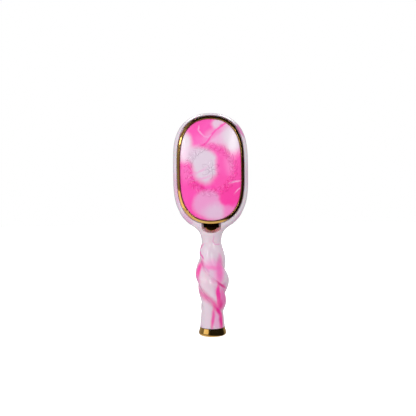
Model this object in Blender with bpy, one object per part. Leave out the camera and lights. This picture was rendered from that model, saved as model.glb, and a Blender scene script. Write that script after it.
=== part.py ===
"""Oval cushion hairbrush with a mirror lid in its back and a three-strand twisted handle.

Frame: the origin is the centre of the end cap's flat foot, +Z runs up the handle to the head,
+Y points out of the bristles, and the lid in the back of the head faces -Y. Sizes are in
millimetres until mesh_object() scales them to metres.
"""

import math

import bmesh
import bpy
import numpy as np
from mathutils import Matrix, Vector

MM = 0.001
GAP = 0.3

# Head: half widths follow |x / HEAD_A| ** 2 + |z / HEAD_B| ** 3.6 = 1 about HEAD_Z.
HEAD_A, HEAD_B, HEAD_Z, HEAD_POWER = 37.35, 57.2, 163.0, 3.6
HEAD_BACK, HEAD_FRONT = 12.0, 10.0
EDGE_BACK, EDGE_FRONT = 6.5, 6.0
# (height, half width) stations of the shoulder, from the neck up to the head's own curve.
SHOULDER = (
    (91.0, 9.7), (96.0, 10.25), (100.0, 11.3), (104.0, 13.85),
    (108.0, 18.9), (112.0, 24.0), (118.0, 29.25), (126.0, 33.23),
)
# (height, value) stations of the handle.
BODY_FOOT = 7.7
TWIST_TOP = 91.0
STRAND_REACH = (
    (22.5, 11.0), (29.0, 13.4), (37.0, 15.2), (46.0, 16.6), (57.0, 17.1),
    (66.0, 15.6), (75.0, 13.8), (83.0, 12.3), (91.0, 9.7),
)
THIRD_STRAND_REACH = ((22.5, 11.0), (30.0, 11.3), (37.0, 12.1), (46.0, 14.5), (57.0, 17.1))
STRAND_OFFSET_SHARE = ((20.0, 0.05), (30.0, 0.30), (45.0, 0.34), (70.0, 0.33), (80.0, 0.22), (91.0, 0.0))
CORE_RADIUS = ((7.7, 12.4), (22.7, 11.0), (32.0, 10.0), (60.0, 9.5), (91.0, 9.7))
# The twist turns 4.9 degrees for each millimetre of height. At CREASE_Z one crease faces -Y.
TWIST_RATE, CREASE_Z, CREASE_ANGLE = -4.9, 58.6, 270.0
BORE_RADIUS, BORE_TOP = 4.5, 85.0
COUNTERBORE_RADIUS, COUNTERBORE_TOP = 8.5, 20.5

# Lid and ring: half widths follow |x / a| ** 2.2 + |z / b| ** 3.3 = 1 about LID_Z.
LID_Z = 162.8
OVAL_X_POWER, OVAL_Z_POWER = 2.2, 3.3
RING_A, RING_B, RING_WIDTH = 32.65, 52.4, 2.7
RING_BASE, RING_SIDE, RING_CREST = -11.3, -12.0, -13.5
PANEL_EDGE, PANEL_CREST, PANEL_WALL = -12.6, -15.6, 1.2
FLANGE_BACK, FLANGE_FRONT = -11.0, -9.9
PLUG_A, PLUG_B, PLUG_Z, PLUG_FRONT, PLUG_WALL = 28.0, 42.5, 161.3, -7.9, 1.4
REBATE_FLOOR, REBATE_GAP, REBATE_TOP_GAP = -9.6, 0.65, 1.3
WELL_A, WELL_B, WELL_FLOOR = 28.5, 47.5, 0.0
WEB_BACK, WEB_FRONT = WELL_FLOOR, 1.8
MIRROR_BACK, MIRROR_FRONT, TAPE_INSET = -9.3, -8.2, 3.0
LINER_A, LINER_B, LINER_Z, LINER_BACK, LINER_FRONT = 27.6, 43.0, 160.5, -2.6, -1.6
# Cutters start and end outside the body.
OUTSIDE_BACK, OUTSIDE_FRONT = -20.0, 20.0

# Lid hinge, along X.
HINGE_Y, HINGE_Z = -10.65, 206.3
PIN_RADIUS, PIN_HOLE, KNUCKLE_RADIUS = 0.5, 0.7, 1.1
NECK_LOW, NECK_HIGH = HINGE_Z - 2.6, HINGE_Z - 1.1
HINGE_POCKET_LOW, HINGE_POCKET_FRONT = 203.5, -1.3
KNUCKLE_HALF, EAR_INNER, EAR_OUTER, PIN_HALF = 5.3, 6.0, 9.3, 9.0

# Latch: a plate that slides along Z in a tunnel behind the thumb notch.
LATCH_BACK, LATCH_FRONT = -8.3, -6.5
LATCH_HALF, LATCH_LOW, LATCH_SHOULDER, LATCH_CENTRE_Z = 7.6, 106.4, 112.5, 109.0
NOSE_HALF, NOSE_STEP, NOSE_TOP = 4.5, 113.6, 115.6
TONGUE_HALF, TONGUE_DROP = 5.4, 3.2
LIP_HALF, LIP_DROP, LIP_Z, LIP_BACK = 5.0, 2.8, 106.2, -10.2
LEG_HALF, LEG_LOW, LEG_HIGH, LEG_FRONT = 1.5, 110.7, 112.2, -3.7
NOTCH_HALF, NOTCH_SHELF, NOTCH_LOW, NOTCH_HIGH, NOTCH_FLOOR = 9.5, 106.0, 101.2, 111.5, -6.2
TUNNEL_LOW, TUNNEL_HIGH, TUNNEL_FRONT = 105.0, 113.4, -6.1
# Catch: a hook on the lid that the latch's nose holds.
CATCH_HALF, CATCH_BACK, CATCH_FRONT = 4.2, -6.4, -5.4
CATCH_LOW, CATCH_HIGH, CATCH_LEG_LOW, CATCH_LEG_HIGH = 114.6, 116.6, 116.2, 117.4
SPRING_Y, SPRING_LOW, SPRING_HIGH, SPRING_RADIUS, SPRING_WIRE = -5.0, 104.2, 110.4, 1.05, 0.25

# Bristle side.
POCKET_A, POCKET_B = 32.5, 52.0
BEZEL_A, BEZEL_B = 28.0, 47.5
TRAY_BACK, TRAY_FLOOR, TRAY_RIM, TRAY_WALL = 2.1, 3.6, 7.5, 1.7
PAD_BACK, PAD_WALL, PAD_RISE = 7.8, 1.5, 3.6
STRIP_BACK, STRIP_FRONT, STRIP_HALF = 6.2, 7.2, 1.5
ROW_PITCH, PIN_PITCH = 7.0, 6.2
PINS_PER_ROW = (5, 6, 7, 8, 9, 8, 9, 8, 9, 8, 7, 6, 5)
PIN_BASE, PIN_NECK, PIN_TIP, PIN_NECK_Y = 0.8, 0.6, 1.0, 27.0
TIP_TOP_Y = 30.0
SCREW_X, SCREW_Z, SCREW_HEAD, SCREW_SHANK, SCREW_END = 18.0, 28.0, 2.2, 0.65, 3.4
BEZEL_FRONT, BEZEL_EDGE = 10.8, 0.5

COLUMNS = 32
OVAL_POINTS = 36

HINGE = (0.0, HINGE_Y, HINGE_Z)


# ---------------------------------------------------------------- materials
def material(name, colour, roughness, metallic=0.0):
    made = bpy.data.materials.new(name)
    made.use_nodes = True
    made.diffuse_color = (*colour, 1.0)
    shader = made.node_tree.nodes["Principled BSDF"]
    shader.inputs["Base Color"].default_value = (*colour, 1.0)
    shader.inputs["Roughness"].default_value = roughness
    shader.inputs["Metallic"].default_value = metallic
    return made


def marbled_plastic():
    return material("marbled_plastic", (0.85, 0.35, 0.62), 0.18)


def gold_plating():
    return material("gold_plating", (0.83, 0.56, 0.22), 0.12, 1.0)


def inner_plastic():
    return material("inner_plastic", (0.86, 0.72, 0.78), 0.4)


def cushion_rubber():
    return material("cushion_rubber", (0.88, 0.62, 0.72), 0.55)


def pin_nylon():
    return material("pin_nylon", (0.85, 0.2, 0.5), 0.3)


def mirror_glass():
    return material("mirror_glass", (0.9, 0.91, 0.92), 0.03, 1.0)


def adhesive_tape():
    return material("adhesive_tape", (0.7, 0.7, 0.68), 0.8)


def liner_foam():
    return material("liner_foam", (0.9, 0.85, 0.87), 0.9)


def plain_steel():
    return material("plain_steel", (0.6, 0.6, 0.6), 0.3, 1.0)


# ---------------------------------------------------------------- mesh helpers
def mesh_object(name, points, faces, finish=None, pivot=(0.0, 0.0, 0.0), parent=None):
    """One object with its origin at pivot. points are in world millimetres."""
    centre = Vector(pivot)
    mesh = bpy.data.meshes.new(name)
    mesh.from_pydata([(Vector(p) - centre) * MM for p in points], [], faces)
    shape = bmesh.new()
    shape.from_mesh(mesh)
    bmesh.ops.recalc_face_normals(shape, faces=shape.faces)
    shape.to_mesh(mesh)
    shape.free()
    mesh.shade_smooth()
    mesh.set_sharp_from_angle(angle=math.radians(35))
    made = bpy.data.objects.new(name, mesh)
    bpy.context.scene.collection.objects.link(made)
    made.location = centre * MM
    if parent:
        made.parent = parent
        made.location = centre * MM - parent.location
    if finish:
        mesh.materials.append(finish)
    return made


def loft(name, rings, finish=None, cyclic=False, **place):
    """Skins equal rings of points. Its ends are capped, or joined to each other if cyclic."""
    count = len(rings[0])
    points = [p for ring in rings for p in ring]
    faces = []
    for row in range(len(rings) if cyclic else len(rings) - 1):
        low, high = row * count, (row + 1) % len(rings) * count
        for column in range(count):
            after = (column + 1) % count
            faces.append((low + column, low + after, high + after, high + column))
    if not cyclic:
        faces.append(tuple(range(count)))
        faces.append(tuple(range(len(points) - count, len(points))))
    return mesh_object(name, points, faces, finish, **place)


def prism_y(name, outline, y_low, y_high, finish=None, **place):
    """A flat (x, z) outline carried from y_low to y_high."""
    rings = [[(x, y, z) for x, z in outline] for y in (y_low, y_high)]
    return loft(name, rings, finish, **place)


def box(name, low, high, finish=None, **place):
    outline = ((low[0], low[2]), (high[0], low[2]), (high[0], high[2]), (low[0], high[2]))
    return prism_y(name, outline, low[1], high[1], finish, **place)


def turned(name, profile, sides, centre=(0.0, 0.0, 0.0), along="Z", finish=None, **place):
    """A profile of (radius, distance) pairs turned about a line through centre."""
    rings = []
    for radius, distance in profile:
        ring = []
        for step in range(sides):
            angle = 2 * math.pi * (step + 0.5) / sides
            across, up = radius * math.cos(angle), radius * math.sin(angle)
            local = {
                "X": (distance, across, up),
                "Y": (across, distance, up),
                "Z": (across, up, distance),
            }[along]
            ring.append(tuple(c + d for c, d in zip(centre, local)))
        rings.append(ring)
    return loft(name, rings, finish, **place)


def combine(target, other, operation):
    """Adds a Boolean. On the body, EXACT leaves open edges, so it alone uses MANIFOLD."""
    other.hide_render = True
    other.display_type = "WIRE"
    change = target.modifiers.new(other.name, "BOOLEAN")
    change.operation = operation
    change.solver = "MANIFOLD" if target.name == "brush_body" else "EXACT"
    change.object = other


def cut(target, *cutters):
    for cutter in cutters:
        combine(target, cutter, "DIFFERENCE")


def add(target, *additions):
    for addition in additions:
        combine(target, addition, "UNION")


def curve(stations, at):
    """A smooth curve through (position, value) stations, level beyond its ends."""
    if at <= stations[0][0]:
        return stations[0][1]
    if at >= stations[-1][0]:
        return stations[-1][1]
    last = len(stations) - 1
    i = next(k for k in range(last) if at <= stations[k + 1][0])

    def slope(k):
        before, after = stations[max(k - 1, 0)], stations[min(k + 1, last)]
        return (after[1] - before[1]) / (after[0] - before[0])

    (x0, y0), (x1, y1) = stations[i], stations[i + 1]
    span = x1 - x0
    t = (at - x0) / span
    return (
        (2 * t**3 - 3 * t**2 + 1) * y0
        + (t**3 - 2 * t**2 + t) * span * slope(i)
        + (3 * t**2 - 2 * t**3) * y1
        + (t**3 - t**2) * span * slope(i + 1)
    )


def oval(a, b, centre_z=LID_Z, points=OVAL_POINTS):
    """(x, z) points of the lid's outline, with half width a and half height b."""
    outline = []
    for step in range(points):
        angle = 2 * math.pi * (step + 0.5) / points
        c, s = math.cos(angle), math.sin(angle)
        x = a * math.copysign(abs(c) ** (2 / OVAL_X_POWER), c)
        z = b * math.copysign(abs(s) ** (2 / OVAL_Z_POWER), s)
        outline.append((x, centre_z + z))
    return outline


def oval_ring(a, b, y, centre_z=LID_Z):
    return [(x, y, z) for x, z in oval(a, b, centre_z)]


# ---------------------------------------------------------------- body surface
def half_width(z):
    """Half width of the head and shoulder at height z."""
    if z <= SHOULDER[-1][0]:
        return curve(SHOULDER, z)
    share = min(abs(z - HEAD_Z) / HEAD_B, 1.0)
    return HEAD_A * math.sqrt(1 - share**HEAD_POWER)


def head_outline():
    """(x, z) points along one side of the head and shoulder, for distances to the outline."""
    outline = [(half_width(z), z) for z in np.arange(TWIST_TOP - 12, 185.0, 0.5)]
    top = math.asin(((185.0 - HEAD_Z) / HEAD_B) ** (HEAD_POWER / 2))
    for angle in np.linspace(top, math.pi / 2, 160):
        z = HEAD_Z + HEAD_B * math.sin(angle) ** (2 / HEAD_POWER)
        outline.append((HEAD_A * math.cos(angle), z))
    return np.array(outline)


def smooth_step(at, low, high):
    t = min(max((at - low) / (high - low), 0.0), 1.0)
    return t * t * (3 - 2 * t)


def section_depth(x, z, side, outline):
    """How far the body's surface stands from the plane y = 0 at (x, z). side is -1 or +1."""
    head_depth = HEAD_BACK if side < 0 else HEAD_FRONT
    rise = smooth_step(z, 96.0, 114.0)
    flat = head_depth * rise + min(half_width(z), head_depth) * (1 - rise)
    edge = EDGE_BACK if side < 0 else EDGE_FRONT
    edge += (half_width(z) - edge) * (1 - smooth_step(z, 96.0, 108.0))
    away = np.min(np.hypot(outline[:, 0] - abs(x), outline[:, 1] - z))
    share = min(away / edge, 1.0)
    return flat * math.sqrt(max(1 - (1 - share) ** 2, 0.0))


def head_ring(z, outline):
    ring = []
    width = half_width(z)
    for step in range(COLUMNS):
        angle = 2 * math.pi * step / COLUMNS
        x = width * math.cos(angle)
        side = 1 if math.sin(angle) > 0 else -1
        depth = 0.0 if step in (0, COLUMNS // 2) else section_depth(x, z, side, outline)
        ring.append((x, side * depth, z))
    return ring


def strand_edge(angle, z, reach, toward):
    """Distance from the axis to the far side of one round strand, in direction angle."""
    offset = curve(STRAND_OFFSET_SHARE, z) * reach
    turn = math.radians(angle - toward)
    inside = (reach - offset) ** 2 - (offset * math.sin(turn)) ** 2
    return offset * math.cos(turn) + math.sqrt(inside)


def twist_radius(angle, z):
    crease = CREASE_ANGLE + TWIST_RATE * (z - CREASE_Z)
    reach = curve(STRAND_REACH, z)
    third = curve(THIRD_STRAND_REACH, z) if z < THIRD_STRAND_REACH[-1][0] else reach
    return max(
        curve(CORE_RADIUS, z),
        strand_edge(angle, z, reach, crease + 60),
        strand_edge(angle, z, reach, crease - 60),
        strand_edge(angle, z, third, crease + 180),
    )


def handle_ring(z):
    ring = []
    for step in range(COLUMNS):
        angle = 360 * step / COLUMNS
        radius = twist_radius(angle, z)
        turn = math.radians(angle)
        ring.append((radius * math.cos(turn), radius * math.sin(turn), z))
    return ring


def body_heights():
    handle = [BODY_FOOT, 15.0, 20.0] + list(np.linspace(23.0, TWIST_TOP, 22))
    shoulder = list(np.arange(94.0, 126.0, 2.5))
    head = [126.0, 137.0, 150.0, 163.0, 176.0]
    start = math.asin(((186.0 - HEAD_Z) / HEAD_B) ** (HEAD_POWER / 2))
    for angle in np.linspace(start, math.radians(88.5), 11):
        head.append(HEAD_Z + HEAD_B * math.sin(angle) ** (2 / HEAD_POWER))
    return handle, shoulder + head


def hinge_posts():
    """Two goosenecks that rise from the web, with an ear each on the hinge axis."""
    back, front = HINGE_Y - KNUCKLE_RADIUS, HINGE_Y + KNUCKLE_RADIUS
    root = WEB_FRONT / 2
    outline = [(front, NECK_HIGH), (root, NECK_HIGH), (root, NECK_LOW), (back, NECK_LOW)]
    for step in range(9):
        angle = math.pi - math.pi * step / 8
        y = HINGE_Y + KNUCKLE_RADIUS * math.cos(angle)
        outline.append((y, HINGE_Z + KNUCKLE_RADIUS * math.sin(angle)))
    posts = []
    for name, low in (("left", -EAR_OUTER), ("right", EAR_INNER)):
        rings = [[(x, y, z) for y, z in outline] for x in (low, low + EAR_OUTER - EAR_INNER)]
        posts.append(loft(f"post_{name}", rings))
    return posts


def half_turn(steps):
    """Angles from 180 to 360 degrees, round the handle's side of an outline."""
    return [math.radians(180 + 180 * step / steps) for step in range(steps + 1)]


def thumb_notch_outline():
    drop = NOTCH_SHELF - NOTCH_LOW
    outline = [(NOTCH_HALF * math.cos(a), NOTCH_SHELF + drop * math.sin(a)) for a in half_turn(12)]
    return outline + [(NOTCH_HALF, NOTCH_HIGH), (-NOTCH_HALF, NOTCH_HIGH)]


def latch_cutters():
    tunnel, nose, catch, spring = LATCH_HALF + GAP, NOSE_HALF + 0.4, CATCH_HALF + 0.8, LEG_HALF + 0.5
    return (
        prism_y("notch_cut", thumb_notch_outline(), OUTSIDE_BACK, NOTCH_FLOOR),
        box("tunnel_cut", (-tunnel, LATCH_BACK - GAP, TUNNEL_LOW), (tunnel, TUNNEL_FRONT, TUNNEL_HIGH)),
        box("nose_cut", (-nose, LATCH_BACK - 0.4, TUNNEL_HIGH - 0.4), (nose, -6.0, NOSE_TOP + 0.9)),
        box("catch_cut", (-catch, REBATE_FLOOR - GAP, NOSE_STEP + GAP), (catch, -5.0, CATCH_HIGH)),
        box("spring_cut", (-spring, -6.9, SPRING_LOW - GAP), (spring, -3.3, LEG_HIGH + 0.6)),
    )


def rebate_outline():
    """The opening that the lid sits in. Its gap widens at the top, where the ring's corners swing."""
    outline = []
    for step, (_, z) in enumerate(oval(RING_A, RING_B)):
        gap = REBATE_GAP + (REBATE_TOP_GAP - REBATE_GAP) * smooth_step(z, 188.0, HINGE_POCKET_LOW)
        outline.append(oval(RING_A + gap, RING_B + gap)[step])
    return outline


def part_above(outline, low):
    """The part of a closed (x, z) outline that lies above the height low."""
    kept = []
    for (x0, z0), (x1, z1) in zip(outline, outline[1:] + outline[:1]):
        if z0 > low:
            kept.append((x0, z0))
        if (z0 > low) != (z1 > low):
            kept.append((x0 + (x1 - x0) * (low - z0) / (z1 - z0), low))
    return kept


def hinge_pocket():
    """Room behind the lid's top end, which swings inward as the lid opens."""
    gap = REBATE_TOP_GAP - 0.1
    outline = part_above(oval(RING_A + gap, RING_B + gap), HINGE_POCKET_LOW)
    return prism_y("hinge_cut", outline, REBATE_FLOOR - GAP, HINGE_POCKET_FRONT)


def screw_places():
    return [(sx * SCREW_X, LID_Z + sz * SCREW_Z) for sz in (-1, 1) for sx in (-1, 1)]


def brush_body(finish):
    handle, head = body_heights()
    outline = head_outline()
    rings = [handle_ring(z) for z in handle] + [head_ring(z, outline) for z in head]
    body = loft("brush_body", rings, finish)
    cut(
        body,
        prism_y("rebate_cut", rebate_outline(), OUTSIDE_BACK, REBATE_FLOOR),
        prism_y("well_cut", oval(WELL_A, WELL_B), OUTSIDE_BACK, WELL_FLOOR),
        hinge_pocket(),
        prism_y("pocket_cut", oval(POCKET_A, POCKET_B), WEB_FRONT, OUTSIDE_FRONT),
        *latch_cutters(),
    )
    bore = (
        (COUNTERBORE_RADIUS, 5.0), (COUNTERBORE_RADIUS, COUNTERBORE_TOP),
        (BORE_RADIUS, COUNTERBORE_TOP), (BORE_RADIUS, BORE_TOP - 4), (1.0, BORE_TOP),
    )
    cut(body, turned("bore_cut", bore, 20))
    for number, (x, z) in enumerate(screw_places(), 1):
        hole = ((1.0, -2.0), (1.0, 3.0))
        cut(body, turned(f"web_hole_cut_{number}", hole, 8, (x, 0, z), "Y"))
    add(body, *hinge_posts())
    hole = ((PIN_HOLE, -EAR_OUTER - 1), (PIN_HOLE, EAR_OUTER + 1))
    cut(body, turned("ear_hole_cut", hole, 12, (0, HINGE_Y, HINGE_Z), "X"))
    return body


# ---------------------------------------------------------------- lid
def lid_ring(finish, place):
    inner_a, inner_b = RING_A - RING_WIDTH, RING_B - RING_WIDTH
    profile = (
        (1.0, RING_BASE), (1.0, RING_SIDE), (0.86, -12.9), (0.62, RING_CREST),
        (0.38, RING_CREST), (0.14, -12.9), (0.0, RING_SIDE), (0.0, RING_BASE),
    )
    rings = [
        oval_ring(inner_a + share * RING_WIDTH, inner_b + share * RING_WIDTH, y)
        for share, y in profile
    ]
    return loft("lid_ring", rings, finish, cyclic=True, **place)


def lid_panel(finish, place):
    a, b = RING_A - RING_WIDTH - 0.35, RING_B - RING_WIDTH - 0.35
    shares = (0.1, 0.45, 0.75, 1.0)
    rise = PANEL_EDGE - PANEL_CREST

    def skin(y_edge, order):
        return [oval_ring(a * k, b * k, y_edge - rise * (1 - k * k)) for k in order]

    rings = skin(PANEL_EDGE, shares) + skin(PANEL_EDGE + PANEL_WALL, reversed(shares))
    return loft("lid_panel", rings, finish, **place)


def lid_frame(finish, place):
    flange, root = oval(RING_A - 0.4, RING_B - 0.4), FLANGE_FRONT - 0.4
    frame = prism_y("lid_frame", flange, FLANGE_BACK, FLANGE_FRONT, finish, **place)
    rings = [
        oval_ring(PLUG_A - inset, PLUG_B - inset, y, PLUG_Z)
        for inset, y in (
            (0.0, root), (0.0, PLUG_FRONT), (PLUG_WALL, PLUG_FRONT), (PLUG_WALL, root),
        )
    ]
    knuckle = ((KNUCKLE_RADIUS, -KNUCKLE_HALF), (KNUCKLE_RADIUS, KNUCKLE_HALF))
    add(
        frame,
        loft("plug_wall", rings, cyclic=True),
        turned("knuckle", knuckle, 14, (0, HINGE_Y, HINGE_Z), "X"),
        box("catch_leg", (-CATCH_HALF, root, CATCH_LEG_LOW), (CATCH_HALF, CATCH_FRONT, CATCH_LEG_HIGH)),
        box("catch_foot", (-CATCH_HALF, CATCH_BACK, CATCH_LOW), (CATCH_HALF, CATCH_FRONT, CATCH_HIGH)),
    )
    slots = [
        box(f"slot_cut_{name}", (low, -12.0, NECK_LOW - GAP), (low + 4.0, -9.65, HINGE_Z + 1.5))
        for name, low in (("left", -9.7), ("right", 5.7))
    ]
    hole = ((PIN_HOLE, -8.0), (PIN_HOLE, 8.0))
    cut(frame, *slots, turned("knuckle_hole_cut", hole, 12, (0, HINGE_Y, HINGE_Z), "X"))
    return frame


def mirror_and_tape(glass, tape, place):
    a, b = PLUG_A - PLUG_WALL - GAP, PLUG_B - PLUG_WALL - GAP
    taped = oval(a - TAPE_INSET, b - TAPE_INSET, PLUG_Z, 24)
    prism_y("mirror_tape", taped, FLANGE_FRONT + 0.15, FLANGE_FRONT + 0.45, tape, **place)
    prism_y("mirror", oval(a, b, PLUG_Z), MIRROR_BACK, MIRROR_FRONT, glass, **place)


def hinge_pin(finish):
    ends = ((PIN_RADIUS, -PIN_HALF), (PIN_RADIUS, PIN_HALF))
    return turned("hinge_pin", ends, 10, HINGE, "X", finish, pivot=HINGE)


# ---------------------------------------------------------------- latch
def thumb_latch(finish, place):
    tongue = [(TONGUE_HALF * math.cos(a), LATCH_LOW + TONGUE_DROP * math.sin(a)) for a in half_turn(8)]
    plate = [
        (LATCH_HALF, LATCH_LOW), (LATCH_HALF, LATCH_SHOULDER),
        (NOSE_HALF, LATCH_SHOULDER), (NOSE_HALF, NOSE_TOP),
    ]
    mirrored = [(-x, z) for x, z in reversed(plate)]
    latch = prism_y("thumb_latch", tongue + plate + mirrored, LATCH_BACK, LATCH_FRONT, finish, **place)
    lip = [(LIP_HALF * math.cos(a), LIP_Z + LIP_DROP * math.sin(a)) for a in half_turn(8)]
    add(
        latch,
        prism_y("latch_lip", lip, LIP_BACK, LATCH_BACK + 0.5),
        box("spring_leg", (-LEG_HALF, LATCH_FRONT - 0.6, LEG_LOW), (LEG_HALF, LEG_FRONT, LEG_HIGH)),
    )
    cut(latch, box("nose_step_cut", (-LATCH_HALF, LATCH_FRONT - 0.5, NOSE_STEP), (LATCH_HALF, -5.0, 117.0)))
    return latch


def latch_spring(finish):
    """A coil of round wire with its axis along Z."""
    turns, per_turn, sides = 4.5, 10, 5
    steps = int(turns * per_turn)
    low, high = SPRING_LOW + SPRING_WIRE, SPRING_HIGH - SPRING_WIRE
    rings = []
    for step in range(steps + 1):
        turn = 2 * math.pi * step / per_turn
        z = low + (high - low) * step / steps
        ring = []
        for side in range(sides):
            around = 2 * math.pi * side / sides
            radius = SPRING_RADIUS + SPRING_WIRE * math.cos(around)
            x, y = radius * math.cos(turn), SPRING_Y + radius * math.sin(turn)
            ring.append((x, y, z + SPRING_WIRE * math.sin(around)))
        rings.append(ring)
    return loft("latch_spring", rings, finish)


# ---------------------------------------------------------------- bristle side
def cushion_tray(finish):
    a, b = POCKET_A - 0.4, POCKET_B - 0.4
    inner_a, inner_b = a - TRAY_WALL, b - TRAY_WALL
    rings = [
        oval_ring(a * 0.1, b * 0.1, TRAY_BACK), oval_ring(a, b, TRAY_BACK),
        oval_ring(a, b, TRAY_RIM), oval_ring(inner_a, inner_b, TRAY_RIM),
        oval_ring(inner_a, inner_b, TRAY_FLOOR), oval_ring(inner_a * 0.1, inner_b * 0.1, TRAY_FLOOR),
    ]
    tray = loft("cushion_tray", rings, finish)
    for number, (x, z) in enumerate(screw_places(), 1):
        hole = ((0.95, 1.0), (0.95, 5.0))
        cut(tray, turned(f"tray_hole_cut_{number}", hole, 8, (x, 0, z), "Y"))
    return tray


def tray_screws(finish):
    profile = (
        (SCREW_HEAD, WEB_BACK - 1.3), (SCREW_HEAD, WEB_BACK - GAP),
        (SCREW_SHANK, WEB_BACK - GAP), (SCREW_SHANK, SCREW_END),
    )
    for number, (x, z) in enumerate(screw_places(), 1):
        turned(f"tray_screw_{number}", profile, 10, (x, 0, z), "Y", finish)


def pin_rows():
    """(number, height, pin positions across) of each row of pins, lowest first."""
    middle = (len(PINS_PER_ROW) - 1) / 2
    for index, count in enumerate(PINS_PER_ROW):
        height = LID_Z + (index - middle) * ROW_PITCH
        yield index + 1, height, [(k - (count - 1) / 2) * PIN_PITCH for k in range(count)]


def diamond(x, z, radius, y):
    return [(x + radius, y, z), (x, y, z + radius), (x - radius, y, z), (x, y, z - radius)]


def cushion_pad(finish):
    """A hollow rubber dome with a flange, and a hole for each pin."""
    flange_a, flange_b = POCKET_A - 0.6, POCKET_B - 0.6
    dome_a, dome_b = BEZEL_A - 0.4, BEZEL_B - 0.4
    shares = (1.0, 0.92, 0.65, 0.15)
    front = PAD_BACK + PAD_WALL

    def dome(base, a, b, order):
        rings = []
        for k in order:
            rise = PAD_RISE * (1 - k**2.4) ** 0.9
            rings.append(oval_ring(a * k, b * k, base + rise))
        return rings

    rings = dome(PAD_BACK, dome_a - PAD_WALL, dome_b - PAD_WALL, reversed(shares))
    rings += [oval_ring(flange_a, flange_b, y) for y in (PAD_BACK, front)]
    rings += dome(front, dome_a, dome_b, shares)
    pad = loft("cushion_pad", rings, finish)
    points, faces = [], []
    for _, z, places in pin_rows():
        for x in places:
            start = len(points)
            points += diamond(x, z, 1.35, 6.0) + diamond(x, z, 1.35, 16.0)
            for side in range(4):
                after = (side + 1) % 4
                faces.append((start + side, start + after, start + 4 + after, start + 4 + side))
            faces += [tuple(range(start, start + 4)), tuple(range(start + 4, start + 8))]
    cut(pad, mesh_object("pin_hole_cut", points, faces))
    return pad


def front_bezel(finish):
    a, b = POCKET_A - 0.4, POCKET_B - 0.4
    back, shoulder = PAD_BACK + PAD_WALL + GAP, BEZEL_FRONT - BEZEL_EDGE
    rings = [
        oval_ring(a, b, back), oval_ring(a, b, shoulder),
        oval_ring(a - BEZEL_EDGE, b - BEZEL_EDGE, BEZEL_FRONT),
        oval_ring(BEZEL_A + BEZEL_EDGE, BEZEL_B + BEZEL_EDGE, BEZEL_FRONT),
        oval_ring(BEZEL_A, BEZEL_B, shoulder), oval_ring(BEZEL_A, BEZEL_B, back),
    ]
    return loft("front_bezel", rings, finish, cyclic=True)


def pin_row(number, z, places, finish, parent):
    """One row: a strip under the cushion and the pins that rise from it, as one mesh."""
    ends = [places[0] - PIN_PITCH / 2] + [x + PIN_PITCH / 2 for x in places]
    points, faces = [], []
    for x in ends:
        for y in (STRIP_BACK, STRIP_FRONT):
            points += [(x, y, z - STRIP_HALF), (x, y, z + STRIP_HALF)]
    faces += [(0, 2, 3, 1)]
    last = 4 * (len(ends) - 1)
    faces += [(last, last + 1, last + 3, last + 2)]
    for cell, x in enumerate(places):
        c, d = 4 * cell, 4 * cell + 4
        faces += [(c, c + 1, d + 1, d), (c, d, d + 2, c + 2), (c + 1, c + 3, d + 3, d + 1)]
        base = len(points)
        for radius, y in (
            (PIN_BASE, STRIP_FRONT), (PIN_NECK, PIN_NECK_Y),
            (PIN_TIP, TIP_TOP_Y - PIN_TIP), (PIN_TIP * 0.5, TIP_TOP_Y),
        ):
            points += diamond(x, z, radius, y)
        right, up, left, down = base, base + 1, base + 2, base + 3
        faces += [
            (c + 3, d + 3, up), (d + 3, d + 2, right), (d + 2, c + 2, down), (c + 2, c + 3, left),
            (d + 3, right, up), (d + 2, down, right), (c + 2, left, down), (c + 3, up, left),
        ]
        for level in range(3):
            low = base + 4 * level
            for side in range(4):
                after = (side + 1) % 4
                faces.append((low + side, low + after, low + 4 + after, low + 4 + side))
        faces.append(tuple(range(base + 12, base + 16)))
    return mesh_object(f"pin_row_{number:02d}", points, faces, finish, parent=parent)


def well_liner(finish):
    outline = oval(LINER_A, LINER_B, LINER_Z, 28)
    return prism_y("well_liner", outline, LINER_BACK, LINER_FRONT, finish)


# ---------------------------------------------------------------- handle end
def end_cap(finish):
    profile = (
        (12.0, 0.0), (13.2, 0.5), (13.8, 1.8), (13.6, 3.4), (12.8, 5.4), (12.4, 7.4),
        (11.2, 7.4), (11.2, 2.0), (4.1, 2.0), (4.1, 16.0),
    )
    return turned("end_cap", profile, 32, finish=finish)


def cap_plug(finish):
    inner, outer, low, high = 4.4, COUNTERBORE_RADIUS - 0.3, 8.0, COUNTERBORE_TOP - 0.3
    rings = []
    for radius, z in ((inner, low), (outer, low), (outer, high), (inner, high)):
        ring = []
        for step in range(20):
            turn = 2 * math.pi * (step + 0.5) / 20
            ring.append((radius * math.cos(turn), radius * math.sin(turn), z))
        rings.append(ring)
    return loft("cap_plug", rings, finish, cyclic=True)


def joint_marker(name, place):
    made = bpy.data.objects.new(name, None)
    made.empty_display_size = 0.01
    made.matrix_world = Matrix.Translation(Vector(place) * MM)
    bpy.context.scene.collection.objects.link(made)
    return made


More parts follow.
